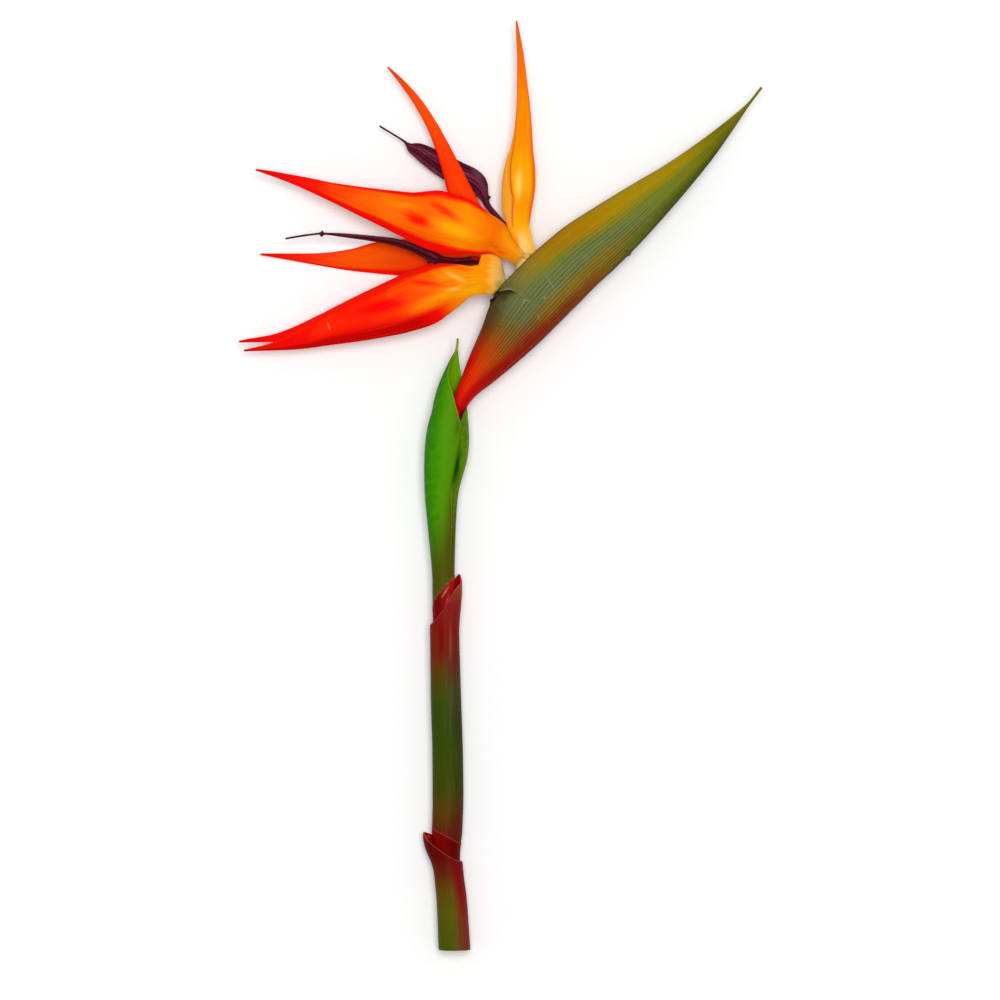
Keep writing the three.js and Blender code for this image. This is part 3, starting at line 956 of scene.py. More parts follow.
@dataclass(frozen=True)
class Fold:
    """A long rounded ridge along a petal or, where its height is negative, a trough.

    It runs straight from its start to its end, each given as how far along the petal, from 0 to
    1, and how far across it, from -1 to 1. Its breadth is a share of the half width.
    """

    start: Place
    end: Place
    height: float
    breadth: float

    def over(self, along: Array, across: Array) -> Array:
        """Its height at each point.

        Args:
            along: How far along the petal each point is, from 0 to 1.
            across: How far across it, from -1 to 1.

        Returns:
            The heights.
        """
        first, last = self.start[0], self.end[0]
        share = np.clip((along - first) / (last - first), 0, 1)
        line = self.start[1] + (self.end[1] - self.start[1]) * share
        fade = ease(along, first - 0.04, first + 0.05) * (1 - ease(along, last - 0.06, last + 0.04))
        return self.height * fade * bell(across - line, self.breadth)


@dataclass(frozen=True)
class Crease:
    """A sharp fold along a petal, whose flange on the - side lies lower than the blade.

    Its line gives how far across it is, by how far along.
    """

    line: Rows
    depth: float

    def beyond(self, along: Array, across: Array) -> Array:
        """How far each point lies beyond the line, on the flange's side."""
        return law(self.line, along) - across

    def over(self, along: Array, across: Array) -> Array:
        """How far each point lies below the blade.

        Args:
            along: How far along the petal each point is, from 0 to 1.
            across: How far across it, from -1 to 1.

        Returns:
            The depths.
        """
        start, end = self.line[0][0], self.line[-1][0]
        ends = ease(along, start, start + 0.08) * (1 - ease(along, end - 0.2, end))
        return self.depth * ends * ease(self.beyond(along, across), -0.04, 0.16)


@dataclass(frozen=True)
class Petal(Piece):
    """A petal: a curved blade round a spine, with its midrib and its folds.

    Each row from the foot to the tip is [x, y, z, width, cup]: the middle of the blade, its
    width, and how far its margins lie behind its middle as a share of the width. The laws along
    it say how far its upper and lower margins stand out, and how far the upper one sinks.
    """

    rows: Rows
    thickness: float
    rib: float
    folds: tuple[Fold, ...] = ()
    crease: Crease | None = None
    upper: Rows = ((0, 0), (1, 0))
    lower: Rows = ((0, 0), (1, 0))
    sink: Rows = ((0, 0), (1, 0))
    edge: float = 0.4
    steps_along: int = 150
    steps_across: int = 48

    def body(self) -> Body:
        """Works out its form.

        Returns:
            The closed body.
        """
        shares = np.linspace(0, 1, self.steps_along + 1)
        spread = denser(np.linspace(-1, 1, self.steps_across + 1), 1.5)
        along, across = np.meshgrid(shares, spread, indexing="ij")
        width, cup = smooth_path(self.rows, shares).T[3:, :, None]
        up, down = np.clip(across, 0, 1) ** 2, np.clip(-across, 0, 1) ** 2
        reach = across * width / 2 + (law(self.upper, along) * up - law(self.lower, along) * down)
        surface = self.surface(along, across, width) - cup * width * across**2
        half = self.half_thickness(along, across, width)
        front, back = (set_off(self.rows, shares, reach, surface + side * half) for side in (1, -1))
        beyond = self.crease.beyond(along, across) if self.crease else np.zeros_like(along)
        return Body.thin(front, back, np.stack([across, along, beyond], axis=-1))

    def surface(self, along: Array, across: Array, width: Array) -> Array:
        """The height of the midrib and the folds.

        Args:
            along: How far along the petal each point is, from 0 to 1.
            across: How far across it, from -1 to 1.
            width: The petal's width there.

        Returns:
            The heights.
        """
        body = np.minimum(1, width / 8) * (1 - ease(along, 0.94, 1.0))
        height = self.rib * body * bell(across, 0.3)
        for fold in self.folds:
            height = height + fold.over(along, across) * body
        if self.crease:
            height = height - self.crease.over(along, across)
        return height - law(self.sink, along) * np.clip(across, 0, 1) ** 2

    def half_thickness(self, along: Array, across: Array, width: Array) -> Array:
        """Half the thickness, less toward the margins and the tip.

        Args:
            along: How far along the petal each point is, from 0 to 1.
            across: How far across it, from -1 to 1.
            width: The petal's width there.

        Returns:
            Half the thickness at each point.
        """
        middle = 0.7 + (self.thickness - 0.7) * np.minimum(1, width / 10)
        blade = self.edge + (middle - self.edge) * (1 - across**2)
        rounding = np.sqrt(1 - 0.97 * across**12)
        foot = 0.4 + 0.6 * ease(along, 0, 0.06)
        return 0.5 * blade * rounding * foot * (1 - 0.6 * ease(along, 0.93, 1.0))


@dataclass(frozen=True)
class Barb:
    """A small point on an arrow's head: how far along, how far round and how long it is."""

    along: float
    turn: float
    length: float

    def over(self, along: Array, angle: Array) -> Array:
        """How far it pushes each point out."""
        lean = np.cos(angle - math.radians(self.turn))
        return self.length * bell(along - self.along, 0.008) * np.clip(lean, 0, 1) ** 6


@dataclass(frozen=True)
class Arrow(Piece):
    """A flower's arrow: two joined petals on their claw, with the style out of the tip.

    Each row from the foot is [x, y, z, width, depth].
    """

    rows: Rows
    barbs: tuple[Barb, ...]
    ring_count: int = 220
    sides: int = 102

    def body(self) -> Body:
        """Works out its form.

        Returns:
            The closed body.
        """
        along, angle = ring_grid(self.ring_count, self.sides)
        shares = along[:, 0]
        width, depth = smooth_path(self.rows, shares).T[3:, :, None]
        ridge = np.cos(5 * angle)
        fine = np.cos(17 * angle + 2.5 * np.sin(9 * along)) * np.minimum(1, width / 5)
        fold = 0.93 + 0.05 * ridge + 0.022 * fine
        push = sum((barb.over(along, angle) for barb in self.barbs), np.zeros_like(along))
        out = np.cos(angle) * (width * fold / 2 + push)
        up = np.sin(angle) * (depth * fold / 2 + push)
        place = np.stack([np.cos(angle), along, 0.5 + 0.25 * ridge + 0.25 * fine], axis=-1)
        return Body.rings(set_off(self.rows, shares, out, up), place)


@dataclass(frozen=True)
class Neck(Piece):
    """A flower's stalk with its pale neck, through [x, y, z, radius] rows."""

    rows: Rows
    ring_count: int = 70
    sides: int = 40

    def body(self) -> Body:
        """Works out its form.

        Returns:
            The closed body.
        """
        along, angle = ring_grid(self.ring_count, self.sides)
        shares, out, up = along[:, 0], np.cos(angle), np.sin(angle)
        radius = smooth_path(self.rows, shares)[:, 3:] * (1 + 0.02 * np.cos(3 * angle))
        rings = set_off(self.rows, shares, radius * out, radius * up)
        return Body.rings(rings, np.stack([out, along, up], axis=-1))


# The stem and its sheaths

STEM_LINE = (
    (-18.2, -186, 5.85), (-19.3, -167, 5.85), (-20.3, -158, 5.85), (-21.2, -149, 5.85),
    (-21.2, -140, 5.9), (-20.8, -126, 5.95), (-21, -106, 6.3), (-21.6, -86, 6.8), (-22, -66, 7.3),
    (-22.5, -46, 7.9), (-22.9, -30, 8.4), (-23.2, -14, 8.9), (-23, -2, 9.3), (-21.8, 14, 9.8),
    (-20, 23.8, 10), (-17.8, 30, 10), (-14.9, 35.8, 10),
)


def stem_centre(height: Array) -> Array:
    """Centre of the stem at each distance along +Y."""
    line = smooth_path(STEM_LINE, np.linspace(0, 1, 400))
    return np.stack([np.interp(height, line[:, 1], line[:, axis]) for axis in range(3)], axis=-1)


class Side(Enum):
    """The side on which a sheath's mouth reaches highest."""

    LEFT = -1
    RIGHT = 1


@dataclass(frozen=True)
class Mouth:
    """A closed sheath's slanting mouth, which rises to a free point on one side.

    It starts at its lowest height and rises by a power law; its point is the broader the lower
    its sharpness, and stands off the stem by the flare, between two heights.
    """

    side: Side
    lowest: float
    rise: float
    power: float
    point: float
    turn: float
    flare: float
    flare_from: float
    flare_to: float
    sharpness: float = 8.0

    def lean(self, angle: Array, turn: float) -> Array:
        """How far each angle leans to the high side, turned toward the table by degrees."""
        return np.clip(self.side.value * np.cos(angle + self.side.value * math.radians(turn)), 0, 1)

    def height(self, angle: Array) -> Array:
        """The mouth's height.

        Args:
            angle: The angle round the stem.

        Returns:
            The height at each angle.
        """
        share = (1 + self.side.value * np.cos(angle)) / 2
        point = np.minimum(0.8, self.lean(angle, self.turn) ** self.sharpness)
        return self.lowest + self.rise * share**self.power + self.point * point

    def standing(self, angle: Array, height: Array) -> Array:
        """How far the sheath stands off the round there."""
        lean = self.lean(angle, self.turn / 2)
        return self.flare * lean**3 * ease(height, self.flare_from, self.flare_to)


@dataclass(frozen=True)
class Sheath(Piece):
    """A sheath that closes round the stem. Its outer and inner radii are given by height."""

    mouth: Mouth
    bottom: float
    outer: Rows
    inner: Rows
    levels: int = 150
    sides: int = 112

    def body(self) -> Body:
        """Works out its form.

        Returns:
            The closed body.
        """
        share, angle = ring_grid(self.levels - 1, self.sides)
        share = 1 - (1 - share) ** 1.5
        lip = self.mouth.height(angle)
        height = self.bottom + (lip - self.bottom) * share
        direction = np.stack([np.cos(angle), np.zeros_like(angle), np.sin(angle)], axis=-1)
        standing = self.mouth.standing(angle, height)
        drop = lip - height
        thinning = 0.16 * (1 - ease(drop, 0, 0.5))
        outer = law(self.outer, height) + standing + self.relief(angle, height) - thinning
        inner = law(self.inner, height) + standing * 0.9 + thinning
        centre = stem_centre(height)
        front, back = (centre + direction * radius[..., None] for radius in (outer, inner))
        return Body.thin(front, back, np.stack([np.cos(angle), height, drop], axis=-1), wrap=True)

    def relief(self, angle: Array, height: Array) -> Array:
        """The step at the ring over the collar, where there is one, and faint unevenness.

        Args:
            angle: The angle round the stem of each point.
            height: Its height.

        Returns:
            How far each point stands out.
        """
        uneven = 0.03 * np.sin(3 * angle + height * 0.11) + 0.02 * np.sin(7 * angle - height * 0.05)
        if self.finish.ring is None:
            return uneven
        above = height - (self.finish.ring[0] + np.cos(angle) * self.finish.ring[1])
        return uneven + 0.16 * bell(above, 0.3) + 0.08 * (1 - ease(above, -0.2, 0.2))


@dataclass(frozen=True)
class Bract(Piece):
    """The green upper sheath: a leaf rolled round the stem, open on its right side near the top.

    Each row from the foot to the tip is [y, left edge x, right edge x, half depth, angle of the
    near margin, angle of the far margin]. Its margins lap by some degrees up to a height.
    """

    rows: Rows
    wall: float = 0.8
    lap: float = 14
    lap_fades: Place = (19, 24)
    steps_along: int = 190
    steps_round: int = 110

    def body(self) -> Body:
        """Works out its form.

        Returns:
            The closed body.
        """
        shares = np.linspace(0, 1, self.steps_along + 1)
        table = [
            [(left + right) / 2, y, (right - left) / 2, *rest]
            for y, left, right, *rest in self.rows
        ]
        middle, level, half_width, half_depth, near, far = smooth_path(table, shares).T[:, :, None]
        lapped = 1 - ease(level, *self.lap_fades)
        far = far + self.lap * lapped
        share = (denser(np.linspace(-1, 1, self.steps_round + 1), 1.4) + 1) / 2
        angle = np.radians(near + (far - near) * share)
        share, height = share + np.zeros_like(angle), level + np.zeros_like(angle)
        thickness = np.minimum(self.wall, half_width * 0.45)
        margin = np.minimum(share, 1 - share) * np.radians(far - near) * half_width
        thinned = thickness * (0.35 + 0.65 * ease(margin, 0, 0.9))
        under = ease(np.degrees(angle), far - self.lap - 12, far - self.lap - 2) * lapped
        relief = self.relief(angle, height) - under * (thickness + 0.1)
        axis = stem_centre(np.minimum(level, 35))[..., 2]
        out, up = np.cos(angle), np.sin(angle)
        front, back = (
            np.stack([middle + out * (half_width + t), height, axis + up * (half_depth + t)], -1)
            for t in (relief, relief - thinned)
        )
        body = Body.thin(front, back, np.stack([out, height, up], axis=-1))
        body.notes["edge"] = np.tile((share * np.radians(far - near) * half_width).ravel(), 2)
        return body

    @staticmethod
    def relief(angle: Array, height: Array) -> Array:
        """The step of the collar, the groove beside the opening and faint unevenness.

        Args:
            angle: The angle round the stem of each point.
            height: Its height.

        Returns:
            How far each point stands out.
        """
        uneven = 0.05 * np.sin(2 * angle + height * 0.06) + 0.02 * np.sin(9 * angle + height * 0.02)
        above = height - collar_ring(np.cos(angle))
        collar = 0.14 * bell(above, 0.35) + 0.1 * (1 - ease(above, -0.2, 0.2))
        away = np.degrees(angle) % 360 - np.interp(height, [-2, 8, 18], [50, 47, 42])
        groove = 1.5 * bell(away, 10) * ease(height, -4, 4) * (1 - ease(height, 14, 22))
        return uneven + collar - groove


@dataclass(frozen=True)
class Scape(Piece):
    """The solid stem inside the sheaths. Its radius is given by height."""

    radius: Rows
    ring_count: int = 110
    sides: int = 56

    def body(self) -> Body:
        """Works out its form.

        Returns:
            The closed body.
        """
        along, angle = ring_grid(self.ring_count, self.sides)
        shares, out, up = along[:, 0], np.cos(angle), np.sin(angle)
        height = smooth_path(STEM_LINE, shares)[:, 1:2]
        radius = law(self.radius, height)
        rings = set_off(STEM_LINE, shares, radius * out, radius * up)
        return Body.rings(rings, np.stack([out, height + np.zeros_like(angle), up], axis=-1))


@dataclass(frozen=True)
class Spathe(Piece):
    """The boat-shaped bract that holds the flowers, open along its upper margin.

    Its outline rows are [distance along it, height of its margins, height of its keel, half
    thickness, half opening]. Its fair rows are [distance, height] of the line that its margins
    would have with no mouth between them. Its fold runs across the mouth's corner through [x, y]
    rows, its spacing says by how many sections it is built up to a distance, and its nicks are
    [distance, share of the way up, size].
    """

    outline: Rows
    fair: Rows
    fold: Rows
    spacing: Rows
    nicks: Rows
    base: Place = (-15.8, 26.8)
    turn: float = 47.8
    level: float = 10
    wall: float = 1.0
    ribs: int = 9
    rib_height: float = 0.16
    columns: int = 72

    def body(self) -> Body:
        """Works out its form.

        Returns:
            The closed body.
        """
        fine = np.linspace(0, 1, 2000)
        sections = np.arange(self.spacing[-1][1] + 1)
        distances = law([row[::-1] for row in self.spacing], sections)
        shares = np.interp(distances, smooth_path(self.outline, fine)[:, 0], fine)
        distance, margin, keel, half, opening = smooth_path(self.outline, shares).T[:, :, None]
        w = np.linspace(0, 1, self.columns + 1) ** 1.4 + np.zeros_like(distance)
        fair, smooth_keel = law(self.fair, distance), keel
        margin = margin + 0.9 * bell(distance - 43, 0.8)
        keel = keel - 0.55 * bell(distance - 94, 0.7)
        wall = np.minimum(np.minimum(self.wall, half - 0.2), (margin - keel) / 2)
        edge = 0.35 + 0.35 * ease(1 - w, 0, 0.05)
        outer = self.section(margin, keel, half, opening + edge, np.zeros_like(wall), w)
        inner = self.section(margin, keel, half, opening, wall, w)
        lines = (outer[0] - smooth_keel) / (fair - smooth_keel)
        where = self.standing(distance, *outer, 1)
        fold = away_from(self.fold, where[..., 0], where[..., 1])
        relief = self.relief(distance, w, lines, half)
        near = self.raised(outer, relief + self.folded(fold, w))
        far = self.raised(outer, relief)
        place = np.stack([w, distance + np.zeros_like(w), np.ones_like(w)], axis=-1)
        front = self.joined(self.standing(distance, *near, 1), self.standing(distance, *far, -1))
        back = self.joined(self.standing(distance, *inner, 1), self.standing(distance, *inner, -1))
        body = Body.thin(front, back, self.joined(place, place * [1, 1, -1]))
        body.notes["lines"] = np.tile(self.joined(lines, lines).ravel(), 2)
        away = self.joined(fold, np.full_like(fold, 99)).ravel()
        body.notes["fold"] = np.append(away, np.full_like(away, 99))
        return body

    @staticmethod
    def section(
        margin: Array, keel: Array, half: Array, opening: Array, inset: Array, w: Array
    ) -> tuple[Array, Array]:
        """One side of every section, from keel to margin.

        Args:
            margin: Height of the margins.
            keel: Height of the keel.
            half: Half thickness.
            opening: Half opening.
            inset: How far it lies inside the skin.
            w: Share of the way from keel to margin.

        Returns:
            The heights and the half thicknesses.
        """
        belly = w**0.55 * (1 - w) ** 0.8 * 2.47
        return keel + inset + (margin - keel - inset) * w, (half - inset) * belly + opening * w**3

    @staticmethod
    def raised(side: tuple[Array, Array], height: Array) -> tuple[Array, Array]:
        """Pushes a side outward.

        Args:
            side: Its heights and half thicknesses.
            height: How far to push each point.

        Returns:
            The new heights and half thicknesses.
        """
        rise, run = np.gradient(side[0], axis=1), np.gradient(side[1], axis=1)
        size = np.hypot(rise, run) + 1e-9
        return side[0] - run / size * height, side[1] + rise / size * height

    @staticmethod
    def folded(fold: Array, w: Array) -> Array:
        """The fold across the mouth's corner: its rim, and the hollow beside it.

        Args:
            fold: Each point's distance from the fold's line.
            w: How far up the side it is.

        Returns:
            The heights.
        """
        rim = 0.3 * bell(fold + 0.1, 0.3) * ease(fold, -3, -0.1)
        hollow = 0.4 * ease(-fold, 0.1, 0.5) * (1 - ease(-fold, 0.5, 4)) * (fold < 0)
        return (rim - hollow) * ease(w, 0.62, 0.82)

    def relief(self, distance: Array, w: Array, lines: Array, half: Array) -> Array:
        """The ribs, the ledge of the foot and the nicks.

        Args:
            distance: How far along each point is.
            w: How far up the side it is.
            lines: How far up it is on a side with no mouth, which the ribs follow.
            half: Half thickness of the section.

        Returns:
            The heights.
        """
        body = np.minimum(1, half / 6) * ease(w, 0, 0.02) * (1 - ease(w, 0.9, 1))
        ribs = self.rib_height * np.sin(self.ribs * math.pi * np.abs(lines) ** RIB_SPACING) ** 2
        uneven = 0.06 * np.sin(distance * 0.21 + w * 7)
        marks = 0.5 * ease(distance - w, 2.2, 2.6) * (1 - ease(distance, 4, 14))
        for place, height, size in self.nicks:
            marks = marks - 0.22 * bell(distance - place, size) * bell(w - height, 0.02)
        return (ribs + uneven) * body + marks

    def standing(self, distance: Array, height: Array, out: Array, side: int) -> Array:
        """Puts the points of one side in their place on the flower.

        Args:
            distance: How far along the spathe each is.
            height: Its height.
            out: Its half thickness.
            side: 1 for the near side and -1 for the far one.

        Returns:
            The points.
        """
        run, rise = math.cos(math.radians(self.turn)), math.sin(math.radians(self.turn))
        x = self.base[0] + distance * run - height * rise
        y = self.base[1] + distance * rise + height * run
        return np.stack([x, y, self.level + side * out], axis=-1)

    @staticmethod
    def joined(near: Array, far: Array) -> Array:
        """Rows that run from the near margin over the keel to the far margin."""
        return np.concatenate([near[:, ::-1], far[:, 1:]], axis=1)


# The flower

# Patches shared by the upper flower's petals and neck where they meet: an amber ground, cream, and
# last a band of painted shade where the foot goes down into the spathe.
UPPER_FOOT_WITH_SHADE = (
    (4.6, 98, 7.6, 3.4, -60, 248, 152, 6, 1, 0.45),
    (9, 96.8, 5.6, 2.3, 92, 252, 206, 112, 0.9, 0.1), (7.8, 89.8, 7.4, 1.8, 44, 186, 134, 34, 0.85),
)


@dataclass(frozen=True)
class Stem(Assembly):
    """The scape in its three sheaths."""

    scape: Scape = Scape(
        part=Part("fleshy_scape", "scape", "scape"),
        finish=ScapeFinish("scape"),
        radius=(
            (-185.97, 4.7), (-166, 4.6), (-160, 3.9), (-70, 3.4), (-46, 3.1), (14, 2.9), (22, 2.2),
            (35.8, 1.8),
        ),
    )
    lower: Sheath = Sheath(
        part=Part("lowest_sheath", "sheath_lower", "sheath_red"),
        finish=SheathFinish(
            name="lower sheath",
            foot=-186,
            mouth=-143,
            left=(
                (0, 76, 82, 6), (0.35, 84, 86, 6), (0.55, 94, 72, 6), (0.7, 98, 36, 8),
                (0.82, 102, 8, 4), (1, 98, 2, 3),
            ),
            right=(
                (0, 116, 46, 24), (0.3, 122, 38, 26), (0.5, 126, 18, 20), (0.75, 124, 4, 8),
                (0.9, 110, 3, 4), (1, 98, 2, 3),
            ),
            patches=(
                (-16.2, -162.8, 16, 1.3, 94, 130, 10, 14, 0.45),
                (-27.4, -146, 8, 1.2, 110, 72, 0, 8, 0.6),
                # A painted highlight on the red inside of the sheath's point.
                (-28.8, -140.8, 1.5, 0.8, -25, 238, 50, 34, 0.85, 0.2),
            ),
        ),
        mouth=Mouth(Side.LEFT, -150.6, 7.6, 1.4, 5.2, 24, 3.1, -155, -141, 4.0),
        bottom=-185.97,
        outer=((-185.97, 6.4), (-166, 6.1), (-156, 5.95), (-150, 6.1), (-146, 6.4), (-140, 6.7)),
        inner=((-185.97, 5.15), (-166, 5.05), (-161, 5.3), (-150, 5.45), (-146, 5.8), (-140, 6.1)),
    )
    middle: Sheath = Sheath(
        part=Part("long_middle_sheath", "sheath_middle", "sheath_brown"),
        finish=SheathFinish(
            name="middle sheath",
            foot=-159,
            mouth=-38,
            left=(
                (0, 104, 8, 4), (0.16, 98, 30, 8), (0.24, 86, 60, 5), (0.31, 62, 70, 4),
                (0.55, 48, 74, 3), (0.62, 58, 76, 4), (0.68, 84, 64, 10), (0.76, 116, 38, 10),
                (0.86, 132, 20, 10), (1, 134, 34, 28),
            ),
            right=(
                (0, 92, 4, 6), (0.16, 92, 20, 16), (0.24, 78, 44, 16), (0.32, 56, 58, 12),
                (0.42, 48, 64, 18), (0.5, 44, 58, 16), (0.64, 62, 62, 24), (0.72, 94, 38, 26),
                (0.82, 114, 22, 14), (0.92, 134, 30, 26), (1, 148, 66, 44),
            ),
            patches=(
                # A painted highlight down the sheath, right of its middle.
                (-19.8, -62, 15, 1.1, 90, 160, 76, 70, 0.4),
                (-23.4, -62, 13, 2.2, 90, 112, 4, 2, 0.75),
                (-17, -54.8, 12, 1, 90, 140, 10, 26, 0.6),
                # A faint painted highlight lower down the sheath.
                (-19.4, -86, 20, 1.6, 90, 104, 96, 84, 0.18),
            ),
            ring=(-140.4, -3.2),
        ),
        mouth=Mouth(Side.RIGHT, -55.6, 16.0, 1.3, 6.6, 40, 1.8, -60, -40),
        bottom=-159,
        outer=(
            (-159, 4.9), (-150, 5), (-146, 5.3), (-139, 6.1), (-126, 6.2), (-86, 6.1), (-66, 5.9),
            (-36, 5.8),
        ),
        inner=((-159, 4.25), (-74, 4.2), (-67, 4.95), (-52, 5.15), (-36, 5.2)),
    )
    bract: Bract = Bract(
        part=Part("green_bract", "sheath_upper", "sheath_green"),
        finish=BractFinish(
            name="green bract",
            stops=(
                (0, 46, 120, 3), (0.2, 58, 136, 3), (0.45, 76, 143, 2), (0.65, 82, 136, 2),
                (0.85, 72, 112, 3), (1, 92, 128, 6),
            ),
            patches=(
                # A brighter green down the middle, partly a painted highlight.
                (-22.6, 21.2, 18, 3.2, 82, 86, 150, 3, 0.5),
                # On the next line, the second patch is painted shade in the groove between the
                # lobes.
                (-13.2, 13.2, 10, 0.9, 84, 108, 142, 10, 0.6), (-17.1, 7.2, 12, 2, 82, 3, 68, 1, 1),
                (-19.6, -16, 17, 0.45, 90.8, 88, 42, 12, 0.7),
                # Painted shade just below the spathe's foot.
                (-17, 22.8, 6, 1.8, 80, 62, 96, 6, 0.6),
                (-21.8, -42.4, 4.2, 0.7, 58, 190, 118, 92, 0.7),
                (-21, -45.6, 3.6, 0.4, 70, 196, 100, 84, 0.6),
            ),
        ),
        rows=(
            (-64, -26.5, -17.5, 4.5, 50, 403), (-46, -27, -17.9, 4.5, 50, 403),
            (-34, -27.3, -18.1, 4.7, 49, 403), (-14, -29.2, -17.5, 5.8, 46, 400),
            (-2, -30.2, -16.4, 6.6, 51, 406), (10, -30.3, -13.2, 7.8, 57, 413),
            (18, -29.8, -12.4, 8, 55, 411), (23.6, -28.9, -12.6, 7.7, 52, 414),
            (25.6, -28.4, -12.7, 7.6, 54, 412), (27.2, -28, -12.9, 7.5, 58, 402),
            (29, -27.4, -13, 7.4, 62, 394), (31, -27, -13.2, 7.3, 67, 366),
            (33.2, -26.6, -13.4, 7.1, 72, 318), (36, -25.9, -13.4, 6.9, 81, 300),
            (40, -24.7, -12.4, 6, 103, 300), (45.2, -22.5, -13.9, 4.6, 125, 304),
            (50, -20.2, -14.6, 2.8, 132, 290), (53.4, -18.3, -14.6, 1.7, 118, 262),
            (55, -17.8, -14.9, 1.2, 106, 245), (58.8, -17.3, -15, 1.2, 104, 240),
        ),
    )


